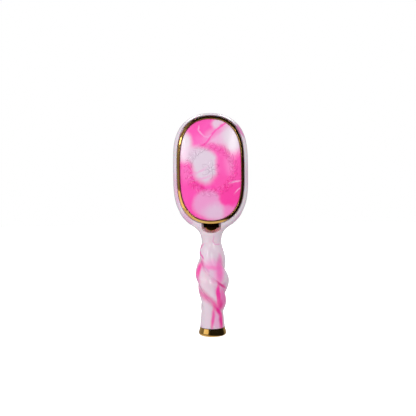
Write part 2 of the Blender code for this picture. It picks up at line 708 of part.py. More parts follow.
def build():
    for old in list(bpy.data.objects):
        bpy.data.objects.remove(old, do_unlink=True)

    marbled, gold, plastic = marbled_plastic(), gold_plating(), inner_plastic()
    steel, nylon = plain_steel(), pin_nylon()
    hinge = joint_marker("lid_hinge_axis", HINGE)
    slide = joint_marker("latch_slide_axis", (0.0, LATCH_BACK, LATCH_CENTRE_Z))
    give = joint_marker("cushion_give_axis", (0.0, STRIP_FRONT, LID_Z))
    on_lid = {"pivot": HINGE, "parent": hinge}

    brush_body(marbled)
    lid_panel(marbled, on_lid)
    lid_ring(gold, on_lid)
    lid_frame(plastic, on_lid)
    mirror_and_tape(mirror_glass(), adhesive_tape(), on_lid)
    hinge_pin(steel)
    thumb_latch(gold, {"pivot": (0.0, LATCH_BACK, LATCH_CENTRE_Z), "parent": slide})
    latch_spring(steel)
    cushion_tray(plastic)
    tray_screws(steel)
    well_liner(liner_foam())
    cushion_pad(cushion_rubber())
    front_bezel(marbled)
    for number, z, places in pin_rows():
        pin_row(number, z, places, nylon, give)
    end_cap(gold)
    cap_plug(plastic)


build()
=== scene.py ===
"""Looks for the oval cushion hairbrush: marbled body and lid, gold trim, mirror, cushion and pins.

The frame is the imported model: origin at the foot, +Z to the head, +Y out of the bristles.
Shapes are worked out in millimetres and scaled to metres when a mesh is made.
"""

import math

import bmesh
import bpy
import numpy as np
from mathutils import Matrix, Vector


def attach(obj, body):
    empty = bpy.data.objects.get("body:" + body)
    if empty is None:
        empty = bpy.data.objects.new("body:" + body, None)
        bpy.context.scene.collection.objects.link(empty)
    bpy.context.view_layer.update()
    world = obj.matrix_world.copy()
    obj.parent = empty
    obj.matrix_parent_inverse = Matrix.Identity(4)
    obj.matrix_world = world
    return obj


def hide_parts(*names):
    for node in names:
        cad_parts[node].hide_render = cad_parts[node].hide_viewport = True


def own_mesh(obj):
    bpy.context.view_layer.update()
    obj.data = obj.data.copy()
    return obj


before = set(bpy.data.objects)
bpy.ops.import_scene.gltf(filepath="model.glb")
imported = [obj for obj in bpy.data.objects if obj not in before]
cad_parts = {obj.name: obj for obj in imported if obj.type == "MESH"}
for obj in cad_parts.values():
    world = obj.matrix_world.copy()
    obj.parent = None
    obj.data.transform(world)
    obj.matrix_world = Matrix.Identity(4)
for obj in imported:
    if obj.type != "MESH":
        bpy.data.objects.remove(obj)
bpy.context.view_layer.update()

MM = 0.001

# Sizes shared with the frame, in millimetres.
HEAD_A, HEAD_B, HEAD_Z, HEAD_POWER = 37.35, 57.2, 163.0, 3.6
HEAD_BACK, HEAD_FRONT = 12.0, 10.0
EDGE_BACK, EDGE_FRONT = 6.5, 6.0
SHOULDER = (
    (91.0, 9.7), (96.0, 10.25), (100.0, 11.3), (104.0, 13.85),
    (108.0, 18.9), (112.0, 24.0), (118.0, 29.25), (126.0, 33.23),
)
BODY_FOOT, TWIST_TOP = 7.7, 91.0
STRAND_REACH = (
    (22.5, 11.0), (29.0, 13.4), (37.0, 15.2), (46.0, 16.6), (57.0, 17.1),
    (66.0, 15.6), (75.0, 13.8), (83.0, 12.3), (91.0, 9.7),
)
THIRD_STRAND_REACH = ((22.5, 11.0), (30.0, 11.3), (37.0, 12.1), (46.0, 14.5), (57.0, 17.1))
STRAND_OFFSET_SHARE = ((20.0, 0.05), (30.0, 0.30), (45.0, 0.34), (70.0, 0.33), (80.0, 0.22), (91.0, 0.0))
CORE_RADIUS = ((7.7, 12.4), (22.7, 11.0), (32.0, 10.0), (60.0, 9.5), (91.0, 9.7))
TWIST_RATE, CREASE_Z, CREASE_ANGLE = -4.9, 58.6, 270.0
CREASE_SOFTNESS = 0.5
LID_Z, OVAL_X_POWER, OVAL_Z_POWER = 162.8, 2.2, 3.3
RING, RING_WIDTH = (32.65, 52.4), 2.7
RING_BASE, RING_SIDE = -11.3, -12.0
PANEL_EDGE, PANEL_CREST, PANEL_WALL, PANEL_GAP = -12.6, -15.6, 1.2, 0.25
FLANGE_BACK, FLANGE_FRONT = -11.0, -9.9
PLUG, PLUG_Z, PLUG_FRONT, PLUG_WALL = (28.0, 42.5), 161.3, -7.9, 1.4
REBATE_FLOOR, REBATE_LIP, REBATE_GAP, REBATE_TOP_GAP = -9.6, -11.35, 0.65, 1.3
WELL_A, WELL_B, WELL_FLOOR, WEB_FRONT = 28.5, 47.5, 0.0, 1.8
HINGE_Y, HINGE_Z, PIN_HOLE, KNUCKLE_RADIUS = -10.65, 206.3, 0.7, 1.1
NECK_LOW, NECK_HIGH = HINGE_Z - 2.6, HINGE_Z - 1.1
HINGE_POCKET_LOW, HINGE_POCKET_FRONT = 203.5, -1.3
KNUCKLE_HALF, EAR_INNER, EAR_OUTER = 5.3, 6.0, 9.3
SLOT_WIDTH, SLOT_FRONT = 4.0, -9.65
CATCH_HALF, CATCH_FRONT, CATCH_TOP, CATCH_ROOT, CATCH_TIP = 4.2, -5.4, 117.4, 116.2, 114.6
NOTCH_HALF, NOTCH_SHELF, NOTCH_LOW, NOTCH_HIGH = 9.2, 106.0, 101.5, 111.5
HANDLE_BORE = ((8.5, 5.0), (8.5, 20.5), (4.5, 20.5), (4.5, 81.0), (1.0, 85.0))
# The latch slides in the tunnel, its nose and the lid's catch meet above, and the spring stands below.
LATCH_CUTS = (
    ("tunnel_cut", (-7.9, -8.6, 105.0), (7.9, -6.1, 113.4)),
    ("nose_cut", (-4.9, -8.7, 113.0), (4.9, -6.0, 116.5)),
    ("catch_cut", (-5.0, -9.9, 113.9), (5.0, -5.0, 116.6)),
    ("spring_cut", (-2.0, -6.9, 103.9), (2.0, -3.3, 112.8)),
)
LATCH_BACK, LATCH_FRONT, LATCH_TRAVEL = -8.3, -6.5, 1.5
LATCH_LOW, TONGUE_HALF, TONGUE_DROP = 106.4, 5.4, 3.0
LIP_TOP, LIP_HALF, LIP_DROP = 106.2, 5.0, 2.8
RIDGE_LOW, RIDGE_PITCH, RIDGE_RADIUS, RIDGE_HALF = 107.6, 1.3, 0.35, 4.2
SPRING_Y, SPRING_LOW, SPRING_HIGH = -5.0, 104.2, 110.4
POCKET, POCKET_LIP, BEZEL = (32.5, 52.0), 9.55, (28.0, 47.5)
PAD_BACK, PAD_WALL, PAD_RISE = 7.8, 1.5, 3.6
EYELET_RISE, EYELET_RADIUS = 0.55, 1.5
STRIP_BACK, STRIP_FRONT, STRIP_HALF = 6.2, 7.2, 1.5
ROW_PITCH, PIN_PITCH = 7.0, 6.2
PINS_PER_ROW = (5, 6, 7, 8, 9, 8, 9, 8, 9, 8, 7, 6, 5)
PIN_BASE, PIN_NECK, PIN_TIP, PIN_END = 0.8, 0.6, 1.0, 30.0
SCREW_X, SCREW_Z = 18.0, 28.0
LINER_A, LINER_B, LINER_Z, LINER_BACK, LINER_FRONT = 27.6, 43.0, 160.5, -2.6, -1.6


# ------------------------ meshes
def new_object(name, points, faces):
    mesh = bpy.data.meshes.new(name)
    mesh.from_pydata((np.asarray(points, float) * MM).tolist(), [], faces)
    shape = bmesh.new()
    shape.from_mesh(mesh)
    bmesh.ops.recalc_face_normals(shape, faces=shape.faces)
    shape.to_mesh(mesh)
    shape.free()
    made = bpy.data.objects.new(name, mesh)
    bpy.context.scene.collection.objects.link(made)
    return made


def shade(piece, degrees=32.0):
    piece.data.shade_smooth()
    piece.data.set_sharp_from_angle(angle=math.radians(degrees))
    return piece


def loft(name, rings, cyclic=False):
    """Skins equal rings of points. Its ends are capped, or joined to each other if cyclic."""
    rings = np.asarray(rings, float)
    rows, count = rings.shape[:2]
    index = np.arange(rows * count).reshape(rows, count)
    low = index if cyclic else index[:-1]
    high = np.roll(index, -1, axis=0) if cyclic else index[1:]
    quads = np.stack([low, np.roll(low, -1, axis=1), np.roll(high, -1, axis=1), high], axis=-1)
    faces = quads.reshape(-1, 4).tolist()
    if not cyclic:
        faces += [index[0].tolist(), index[-1].tolist()]
    return new_object(name, rings.reshape(-1, 3), faces)


def prism_y(name, outline, y_low, y_high):
    rings = [[(x, y, z) for x, z in outline] for y in (y_low, y_high)]
    return loft(name, rings)


def box(name, low, high):
    outline = ((low[0], low[2]), (high[0], low[2]), (high[0], high[2]), (low[0], high[2]))
    return prism_y(name, outline, low[1], high[1])


def turned(name, profile, sides, centre=(0.0, 0.0, 0.0), along="Z"):
    """A profile of (radius, distance) pairs turned about a line through centre."""
    angle = 2 * np.pi * (np.arange(sides) + 0.5) / sides
    rings = []
    for radius, distance in profile:
        across, up = radius * np.cos(angle), radius * np.sin(angle)
        flat = np.full(sides, distance)
        order = {"X": (flat, across, up), "Y": (across, flat, up), "Z": (across, up, flat)}[along]
        rings.append(np.stack(order, axis=-1) + np.array(centre))
    return loft(name, rings)


def keep_result(piece):
    """Makes the result of a piece's modifiers its own mesh."""
    graph = bpy.context.evaluated_depsgraph_get()
    result = bpy.data.meshes.new_from_object(piece.evaluated_get(graph))
    piece.modifiers.clear()
    piece.data = result


def carve(piece, others, operation="DIFFERENCE"):
    """Cuts or adds each of the others, one after another, and keeps only the result."""
    for other in others:
        change = piece.modifiers.new(other.name, "BOOLEAN")
        change.operation = operation
        change.solver = "MANIFOLD"
        change.object = other
    keep_result(piece)
    for other in others:
        bpy.data.objects.remove(other, do_unlink=True)
    return piece


def soften(piece, width, segments=2, degrees=40.0):
    """Rounds a piece's hard edges and keeps the result."""
    change = piece.modifiers.new("rounding", "BEVEL")
    change.width = width * MM
    change.segments = segments
    change.limit_method = "ANGLE"
    change.angle_limit = math.radians(degrees)
    change.use_clamp_overlap = True
    keep_result(piece)
    return piece


def arc(low, high, steps):
    """Evenly spaced angles in radians, both ends included."""
    return [math.radians(low + (high - low) * step / steps) for step in range(steps + 1)]


# ------------------------ curves and outlines
def curve(stations, at):
    """A smooth curve through (position, value) stations, level beyond its ends."""
    xs, ys = np.array(stations, float).T
    slopes = np.empty_like(ys)
    slopes[1:-1] = (ys[2:] - ys[:-2]) / (xs[2:] - xs[:-2])
    slopes[0] = (ys[1] - ys[0]) / (xs[1] - xs[0])
    slopes[-1] = (ys[-1] - ys[-2]) / (xs[-1] - xs[-2])
    at = np.clip(np.asarray(at, float), xs[0], xs[-1])
    i = np.clip(np.searchsorted(xs, at) - 1, 0, len(xs) - 2)
    span = xs[i + 1] - xs[i]
    t = (at - xs[i]) / span
    return (
        (2 * t**3 - 3 * t**2 + 1) * ys[i]
        + (t**3 - 2 * t**2 + t) * span * slopes[i]
        + (3 * t**2 - 2 * t**3) * ys[i + 1]
        + (t**3 - t**2) * span * slopes[i + 1]
    )


def smooth_step(at, low, high):
    t = np.clip((np.asarray(at, float) - low) / (high - low), 0.0, 1.0)
    return t * t * (3 - 2 * t)


def round_off(share):
    """Height of a half circle of radius 1 at a share of its radius, and 0 beyond."""
    return np.sqrt(np.clip(1 - share**2, 0.0, None))


def smooth_max(a, b, softness):
    return (a + b + np.sqrt((a - b) ** 2 + softness**2)) / 2


def oval(a, b, centre_z=LID_Z, points=160):
    """(x, z) points of the lid's outline, spread evenly along it."""
    angle = np.linspace(0, 2 * np.pi, 2881)
    c, s = np.cos(angle), np.sin(angle)
    x = a * np.sign(c) * np.abs(c) ** (2 / OVAL_X_POWER)
    z = b * np.sign(s) * np.abs(s) ** (2 / OVAL_Z_POWER)
    length = np.concatenate([[0], np.cumsum(np.hypot(np.diff(x), np.diff(z)))])
    at = (np.arange(points) + 0.5) / points * length[-1]
    return np.stack([np.interp(at, length, x), np.interp(at, length, z) + centre_z], axis=-1)


def oval_ring(size, y, grow=0.0, centre_z=LID_Z, points=160):
    """A ring of points round an oval of that size, grown all round, at depth y."""
    outline = oval(size[0] + grow, size[1] + grow, centre_z, points)
    return np.stack([outline[:, 0], np.full(points, y), outline[:, 1]], axis=-1)


# ------------------------ body
COLUMNS = 160
SIDE_TOP, CROWN_LOW, CROWN_HIGH, CROWN_RINGS = 185.0, 186.0, math.radians(88.4), 54


def half_width(z):
    """Half width of the head and shoulder at height z."""
    z = np.asarray(z, float)
    share = np.clip(np.abs(z - HEAD_Z) / HEAD_B, 0.0, 1.0)
    head = HEAD_A * np.sqrt(1 - share**HEAD_POWER)
    return np.where(z <= SHOULDER[-1][0], curve(SHOULDER, z), head)


def crown_angle(z):
    return math.asin(((z - HEAD_Z) / HEAD_B) ** (HEAD_POWER / 2))


def crown_height(angle):
    return HEAD_Z + HEAD_B * np.sin(angle) ** (2 / HEAD_POWER)


def head_outline():
    """(x, z) points up one side of the head and shoulder, for distances to the outline."""
    side = np.arange(TWIST_TOP - 12, SIDE_TOP, 0.06)
    angle = np.linspace(crown_angle(SIDE_TOP), np.pi / 2, 3000)
    crown = crown_height(angle)
    x = np.concatenate([half_width(side), HEAD_A * np.cos(angle)])
    return x, np.concatenate([side, crown])


def edge_distance(x, z, outline):
    """Distance from each (x, z) point to the outline's segments."""
    at_x, at_z = outline
    nearest = np.hypot(at_x[:, None] - x, at_z[:, None] - z).argmin(axis=0)
    best = np.full(len(x), np.inf)
    for first in (nearest - 1, nearest):
        i = np.clip(first, 0, len(at_x) - 2)
        dx, dz = at_x[i + 1] - at_x[i], at_z[i + 1] - at_z[i]
        share = np.clip(((x - at_x[i]) * dx + (z - at_z[i]) * dz) / (dx**2 + dz**2), 0.0, 1.0)
        best = np.minimum(best, np.hypot(x - at_x[i] - share * dx, z - at_z[i] - share * dz))
    return best


def section_depth(x, z, side, outline):
    """How far the body's surface stands from the plane y = 0. side is -1 or +1."""
    rise = smooth_step(z, 96.0, 114.0)
    head_depth = np.where(side < 0, HEAD_BACK, HEAD_FRONT)
    flat = head_depth * rise + np.minimum(half_width(z), head_depth) * (1 - rise)
    edge = np.where(side < 0, EDGE_BACK, EDGE_FRONT)
    edge = edge + (half_width(z) - edge) * (1 - smooth_step(z, 96.0, 108.0))
    away = edge_distance(np.abs(x), z, outline)
    share = np.clip(away / edge, 0.0, 1.0)
    return flat * round_off(1 - share)


def head_rings(heights):
    outline = head_outline()
    angle = 2 * np.pi * np.arange(COLUMNS) / COLUMNS
    side = np.where(np.sin(angle) > 0, 1, -1)
    rings = []
    for z in heights:
        x = half_width(z) * np.cos(angle)
        depth = section_depth(x, np.full(COLUMNS, z), side, outline)
        depth[[0, COLUMNS // 2]] = 0.0
        rings.append(np.stack([x, side * depth, np.full(COLUMNS, z)], axis=-1))
    return rings


def strand_edge(angle, z, reach, toward):
    """Distance from the axis to the far side of one round strand, in direction angle."""
    offset = curve(STRAND_OFFSET_SHARE, z) * reach
    turn = np.radians(angle - toward)
    inside = (reach - offset) ** 2 - (offset * np.sin(turn)) ** 2
    return offset * np.cos(turn) + np.sqrt(inside)


def twist_radius(angle, z):
    crease = CREASE_ANGLE + TWIST_RATE * (z - CREASE_Z)
    reach = curve(STRAND_REACH, z)
    third = np.where(z < THIRD_STRAND_REACH[-1][0], curve(THIRD_STRAND_REACH, z), reach)
    first = strand_edge(angle, z, reach, crease + 60)
    second = strand_edge(angle, z, reach, crease - 60)
    last = strand_edge(angle, z, third, crease + 180)
    strands = np.maximum(np.maximum(first, second), last)
    order = np.sort(np.stack([first, second, last]), axis=0)
    soft = smooth_max(order[2], order[1], CREASE_SOFTNESS) - CREASE_SOFTNESS * 0.12
    strands = np.maximum(strands, soft)
    return np.maximum(curve(CORE_RADIUS, z), strands)


def handle_rings(heights):
    angle = 360 * np.arange(COLUMNS) / COLUMNS
    turn = np.radians(angle)
    rings = []
    for z in heights:
        radius = twist_radius(angle, np.full(COLUMNS, z))
        radius = radius * (1 - 0.02 * (1 - smooth_step(z, BODY_FOOT, BODY_FOOT + 0.5)))
        ring = [radius * np.cos(turn), radius * np.sin(turn), np.full(COLUMNS, z)]
        rings.append(np.stack(ring, axis=-1))
    return rings


def rebate_ring(y, extra=0.0):
    """The opening that the lid sits in. Its gap widens at the top, where the ring's corners swing."""
    z = oval_ring(RING, y)[:, 2]
    wide = smooth_step(z, 188.0, HINGE_POCKET_LOW)[:, None]
    narrow_ring = oval_ring(RING, y, REBATE_GAP + extra)
    wide_ring = oval_ring(RING, y, REBATE_TOP_GAP + extra)
    return narrow_ring * (1 - wide) + wide_ring * wide


def pocket_ring(y, extra=0.0):
    return oval_ring(POCKET, y, extra)


def flared_cut(name, ring_at, y_floor, y_lip, side, lip):
    """A cutter whose mouth rounds outward at y_lip, so the edge that it leaves is soft."""
    rings = [ring_at(y_floor), ring_at(y_lip - side * lip)]
    for turn in arc(0, 90, 4)[1:]:
        grow = lip * (1 - math.cos(turn))
        rings.append(ring_at(y_lip - side * lip * (1 - math.sin(turn)), grow))
    clear = lip + 0.8
    rings.append(ring_at(y_lip + side * 0.5, clear))
    rings.append(ring_at(y_lip + side * 8.0, clear))
    return loft(name, rings)


def hinge_pocket_cut():
    """Room behind the lid's top end, which swings inward as the lid opens."""
    gap = REBATE_TOP_GAP - 0.1
    outline = [p for p in oval(RING[0] + gap, RING[1] + gap) if p[1] > HINGE_POCKET_LOW]
    return prism_y("hinge_cut", outline, REBATE_FLOOR - 0.3, HINGE_POCKET_FRONT)


def thumb_notch_cut():
    """The notch: half-round below, straight at the sides, with a rounded floor edge and a soft lip."""
    rings = []
    for y, grow in ((-6.2, -0.3), (-6.3, -0.08), (-6.45, 0.0), (-10.0, 0.0), (-11.0, 0.25), (-20.0, 2.2)):
        half, drop = NOTCH_HALF + grow, NOTCH_SHELF - NOTCH_LOW + grow
        ring = [(half * math.cos(t), y, NOTCH_SHELF + drop * math.sin(t)) for t in arc(180, 360, 40)]
        rings.append(ring + [(half, y, NOTCH_HIGH), (-half, y, NOTCH_HIGH)])
    return loft("notch_cut", rings)


def hinge_posts():
    back, front = HINGE_Y - KNUCKLE_RADIUS, HINGE_Y + KNUCKLE_RADIUS
    root = WEB_FRONT / 2
    outline = [(front, NECK_HIGH), (root, NECK_HIGH), (root, NECK_LOW), (back, NECK_LOW)]
    for turn in arc(180, 0, 24):
        outline.append((HINGE_Y + KNUCKLE_RADIUS * math.cos(turn), HINGE_Z + KNUCKLE_RADIUS * math.sin(turn)))
    posts = []
    for name, low in (("left", -EAR_OUTER), ("right", EAR_INNER)):
        rings = [[(x, y, z) for y, z in outline] for x in (low, low + EAR_OUTER - EAR_INNER)]
        posts.append(loft(f"post_{name}", rings))
    return posts


def screw_places():
    return [(sx * SCREW_X, LID_Z + sz * SCREW_Z) for sz in (-1, 1) for sx in (-1, 1)]


def skin_rings():
    """The body's sections from foot to crown, closest where the shape changes most."""
    foot = [BODY_FOOT, BODY_FOOT + 0.12, BODY_FOOT + 0.3, BODY_FOOT + 0.5, 9.5, 12.0, 15.0, 18.0]
    twist, shoulder = np.arange(20.0, 91.2, 0.6), np.arange(91.6, 126.0, 0.7)
    side = np.arange(126.3, 185.5, 1.6)
    crown = crown_height(np.linspace(crown_angle(CROWN_LOW), CROWN_HIGH, CROWN_RINGS))
    return handle_rings([*foot, *twist]) + head_rings([*shoulder, *side, *crown])


def brush_body():
    body = loft("brush_body_skin", skin_rings())
    ear_hole = ((PIN_HOLE, -EAR_OUTER - 1), (PIN_HOLE, EAR_OUTER + 1))
    carve(body, [
        flared_cut("rebate_cut", rebate_ring, REBATE_FLOOR, REBATE_LIP, -1, 0.35),
        prism_y("well_cut", oval(WELL_A, WELL_B), -20.0, WELL_FLOOR),
        hinge_pocket_cut(),
        flared_cut("pocket_cut", pocket_ring, WEB_FRONT, POCKET_LIP, 1, 0.35),
        thumb_notch_cut(),
        *(box(*cut) for cut in LATCH_CUTS),
        turned("bore_cut", HANDLE_BORE, 40),
    ])
    carve(body, hinge_posts(), "UNION")
    carve(body, [turned("ear_hole_cut", ear_hole, 24, (0, HINGE_Y, HINGE_Z), "X")])
    return shade(body, 38.0)


# ------------------------ lid
LEAVES, WREATH_RADIUS, LEAF_SPREAD, LEAF_LEAN = 26, 22.3, 1.65, math.radians(-34)
LEAF_SIZE = {"length": 3.3, "width": 1.3, "height": 1.15}
PETALS, PETAL_RADIUS = 6, 5.4
PETAL_SIZE = {"length": 3.8, "width": 2.1, "height": 1.0}
VEIN_DEPTH, VEIN_HALF = 0.35, 0.28
STEM_HEIGHT, STEM_HALF, BUD_HEIGHT, BUD_RADIUS = 0.34, 0.5, 0.8, 1.7


def leaf_height(x, z, centre, direction, length, width, height):
    """Relief of one almond-shaped leaf with a groove down its middle."""
    dx, dz = x - centre[0], z - centre[1]
    along = (dx * math.cos(direction) + dz * math.sin(direction)) / length
    across = -dx * math.sin(direction) + dz * math.cos(direction)
    edge = width * np.clip(1 - along**2, 0.0, None) ** 0.75
    share = np.where(edge > 1e-6, np.abs(across) / np.maximum(edge, 1e-6), 2.0)
    vein = VEIN_DEPTH * np.exp(-((across / VEIN_HALF) ** 2)) * np.clip(1 - along**2, 0.0, None)
    return height * np.clip(round_off(share) - vein, 0.0, None)


def wreath_relief(x, z):
    """Raised flower wreath in the middle of the lid: paired leaves round a six-petal blossom."""
    relief = np.zeros_like(x)
    for step in range(LEAVES):
        around = 2 * math.pi * step / LEAVES
        for side in (-1, 1):
            radius = WREATH_RADIUS + side * LEAF_SPREAD
            centre = (radius * math.cos(around), LID_Z + radius * math.sin(around))
            lean = around + math.pi / 2 + side * LEAF_LEAN
            relief = np.maximum(relief, leaf_height(x, z, centre, lean, **LEAF_SIZE))
    distance = np.hypot(x, z - LID_Z)
    stem = STEM_HEIGHT * round_off((distance - WREATH_RADIUS) / STEM_HALF)
    relief = np.maximum(relief, stem)
    for step in range(PETALS):
        around = 2 * math.pi * (step + 0.5) / PETALS
        centre = (PETAL_RADIUS * math.cos(around), LID_Z + PETAL_RADIUS * math.sin(around))
        relief = np.maximum(relief, leaf_height(x, z, centre, around, **PETAL_SIZE))
    bud = BUD_HEIGHT * round_off(distance / BUD_RADIUS)
    return np.maximum(relief, bud)


def lid_panel():
    """Domed panel with the raised wreath, whose very edge rounds down inside the ring."""
    a, b = (half - RING_WIDTH - PANEL_GAP for half in RING)
    points, rise, drop, rounded = 420, PANEL_EDGE - PANEL_CREST, 0.35, 0.015
    rings = []
    for share in [*np.linspace(0.006, 1 - rounded, 150), 0.993, 0.998, 1.0]:
        ring = oval_ring((a * share, b * share), 0.0, points=points)
        edge = drop * (max(share - 1 + rounded, 0.0) / rounded) ** 2
        ring[:, 1] = PANEL_EDGE - rise * (1 - share**2) + edge - wreath_relief(ring[:, 0], ring[:, 2])
        rings.append(ring)
    for share in (1.0, 0.9, 0.7, 0.4, 0.006):
        inner = PANEL_EDGE + PANEL_WALL - rise * (1 - share**2)
        rings.append(oval_ring((a * share, b * share), inner, points=points))
    return shade(loft("lid_panel_skin", rings), 50.0)


def ring_profile():
    """(share of the width, y) round the ring's section: a band that slopes outward, with round edges."""
    outer = [(0.93 + 0.07 * math.cos(t), -12.25 - 0.2 * math.sin(t)) for t in arc(0, 62, 6)]
    inner = [(0.2 + 0.14 * math.cos(t), -13.2 - 0.3 * math.sin(t)) for t in arc(62, 180, 10)]
    return [(1.0, RING_BASE), *outer, *inner, (0.05, RING_SIDE), (0.0, RING_SIDE), (0.0, RING_BASE)]


def lid_ring():
    rings = [oval_ring(RING, y, (share - 1) * RING_WIDTH, points=320) for share, y in ring_profile()]
    return shade(loft("lid_ring_band", rings, cyclic=True), 50.0)


def lid_frame():
    """Flange with the mirror's wall, the hinge knuckle and the catch on its inner side."""
    edge = ((FLANGE_BACK, -0.4), (FLANGE_FRONT - 0.25, -0.4), (FLANGE_FRONT, -0.65))
    flange = loft("lid_frame_moulding", [oval_ring(RING, y, grow) for y, grow in edge])
    root = FLANGE_FRONT - 0.4
    plug = [
        oval_ring(PLUG, y, -inset, PLUG_Z)
        for inset, y in (
            (0.0, root), (0.0, PLUG_FRONT - 0.3), (0.3, PLUG_FRONT),
            (PLUG_WALL - 0.3, PLUG_FRONT), (PLUG_WALL, PLUG_FRONT - 0.3), (PLUG_WALL, root),
        )
    ]
    knuckle = ((KNUCKLE_RADIUS, -KNUCKLE_HALF), (KNUCKLE_RADIUS, KNUCKLE_HALF))
    carve(flange, [
        loft("plug_wall", plug, cyclic=True),
        turned("knuckle", knuckle, 32, (0, HINGE_Y, HINGE_Z), "X"),
        box("catch_leg", (-CATCH_HALF, root, CATCH_ROOT), (CATCH_HALF, CATCH_FRONT, CATCH_TOP)),
        box("catch_foot", (-CATCH_HALF, CATCH_FRONT - 1.0, CATCH_TIP),
            (CATCH_HALF, CATCH_FRONT, CATCH_ROOT + 0.4)),
    ], "UNION")
    slots = [
        box(f"slot_cut_{name}", (low, -12.0, NECK_LOW - 0.3), (low + SLOT_WIDTH, SLOT_FRONT, HINGE_Z + 1.5))
        for name, low in (("left", -9.7), ("right", 5.7))
    ]
    hole = ((PIN_HOLE, -8.0), (PIN_HOLE, 8.0))
    carve(flange, [*slots, turned("knuckle_hole_cut", hole, 24, (0, HINGE_Y, HINGE_Z), "X")])
    return shade(flange, 32.0)


def mirror():
    """A glass plate with a polished bevel round its face."""
    edge = PLUG_WALL + 0.3
    levels = ((-9.3, 0.0), (-8.55, 0.0), (-8.45, 0.15), (-8.2, 1.8))
    rings = [oval_ring(PLUG, y, -edge - inset, PLUG_Z) for y, inset in levels]
    return shade(loft("mirror_plate", rings), 3.0)


# ------------------------ latch
def thumb_latch():
    """Sliding plate with a thumb lip that has three grip ridges."""
    plate = [(7.6, LATCH_LOW), (7.6, 112.5), (4.5, 112.5), (4.5, 115.6)]
    mirrored = [(-x, z) for x, z in reversed(plate)]
    tongue = [(TONGUE_HALF * math.cos(t), LATCH_LOW + TONGUE_DROP * math.sin(t)) for t in arc(180, 360, 32)]
    outline = tongue + plate + mirrored
    latch = prism_y("thumb_latch_plate", outline, LATCH_BACK, LATCH_FRONT)
    soften(latch, 0.2)
    rings = []
    for y, inset in ((LATCH_BACK + 0.5, 0.0), (-9.6, 0.0), (-9.95, 0.12), (-10.15, 0.4), (-10.2, 0.75)):
        half, drop = LIP_HALF - inset, LIP_DROP - inset
        ring = [(half * math.cos(t), y, LIP_TOP + drop * math.sin(t)) for t in arc(180, 360, 40)]
        rings.append(ring + [(x, y, LIP_TOP) for x in (half - 1.0, 0.0, 1.0 - half)])
    ridges = []
    for step in range(3):
        z = RIDGE_LOW + RIDGE_PITCH * step
        end = ((RIDGE_RADIUS, -RIDGE_HALF), (RIDGE_RADIUS, RIDGE_HALF))
        ridges.append(turned(f"grip_ridge_{step}", end, 16, (0, LATCH_BACK - 0.05, z), "X"))
    leg = box("spring_leg", (-1.5, LATCH_FRONT - 0.6, 110.7), (1.5, -3.7, 112.2))
    carve(latch, [loft("latch_lip", rings), leg, *ridges], "UNION")
    carve(latch, [box("nose_step_cut", (-6.0, -7.0, 113.6), (6.0, -5.0, 117.0))])
    return shade(latch, 32.0)


def latch_spring():
    turns, per_turn, sides, radius, wire = 4.5, 32, 12, 1.05, 0.25
    low, high = SPRING_LOW + wire, SPRING_HIGH - wire
    steps = int(turns * per_turn)
    around = 2 * np.pi * np.arange(sides) / sides
    rings = []
    for step in range(steps + 1):
        turn = 2 * math.pi * step / per_turn
        reach = radius + wire * np.cos(around)
        z = low + (high - low) * step / steps + wire * np.sin(around)
        rings.append(np.stack([reach * math.cos(turn), SPRING_Y + reach * math.sin(turn), z], axis=-1))
    return shade(loft("latch_spring_coil", rings), 60.0)


# ------------------------ bristle side
def pin_rows():
    """(number, height, pin positions across) of each row of pins, lowest first."""
    middle = (len(PINS_PER_ROW) - 1) / 2
    for index, count in enumerate(PINS_PER_ROW):
        height = LID_Z + (index - middle) * ROW_PITCH
        yield index + 1, height, [(k - (count - 1) / 2) * PIN_PITCH for k in range(count)]


def pad_crown(share, base):
    return base + PAD_RISE * (1 - share**2.4) ** 0.9


def cushion_pad():
    """Rubber dome with a clamped flange, and a raised eyelet round each pin."""
    a, b = (half - 0.4 for half in BEZEL)
    front, points = PAD_BACK + PAD_WALL, 300
    places = [(x, z) for _, z, across in pin_rows() for x in across]

    def crown(base, reach, order, eyelets):
        rings = []
        for share in order:
            size = ((a - reach) * share, (b - reach) * share)
            ring = oval_ring(size, pad_crown(share, base), points=points)
            if eyelets:
                for x, z in places:
                    near = np.hypot(ring[:, 0] - x, ring[:, 2] - z)
                    ring[:, 1] += EYELET_RISE * np.exp(-((near / EYELET_RADIUS) ** 4))
            rings.append(ring)
        return rings

    inner = crown(PAD_BACK, PAD_WALL, np.linspace(0.02, 1.0, 24), False)
    flange = [oval_ring(POCKET, y, -0.6, points=points) for y in (PAD_BACK, front)]
    order = [1.0, 0.997, 0.99] + list(np.linspace(0.98, 0.012, 120))
    pad = loft("cushion_dome", inner + flange + crown(front, 0.0, order, True))
    holes = []
    for number, (x, z) in enumerate(places):
        holes.append(turned(f"pin_hole_{number}", ((1.0, 6.0), (1.0, 16.0)), 20, (x, 0, z), "Y"))
    for hole in holes[1:]:
        join_meshes(holes[0], hole)
    carve(pad, holes[:1])
    return shade(pad, 45.0)


def join_meshes(target, other):
    """Adds the other's mesh to the target's, as a separate closed body."""
    shape = bmesh.new()
    shape.from_mesh(target.data)
    shape.from_mesh(other.data)
    shape.to_mesh(target.data)
    shape.free()
    bpy.data.objects.remove(other, do_unlink=True)


def front_bezel():
    """Clamp ring with a small round at its outer edge and a larger one toward the cushion."""
    back, front, gap, outer, inner = 9.6, 10.8, 0.4, 0.5, 1.2
    levels = [(POCKET, back, -gap), (POCKET, front - outer, -gap)]
    for turn in arc(0, 90, 5)[1:]:
        inset = gap + outer * (1 - math.cos(turn))
        levels.append((POCKET, front - outer * (1 - math.sin(turn)), -inset))
    for turn in arc(90, 180, 8)[:-1]:
        grow = inner * (1 + math.cos(turn))
        levels.append((BEZEL, front - inner * (1 - math.sin(turn)), grow))
    levels.append((BEZEL, back, 0.0))
    rings = [oval_ring(*level, points=320) for level in levels]
    return shade(loft("front_bezel_ring", rings, cyclic=True), 40.0)


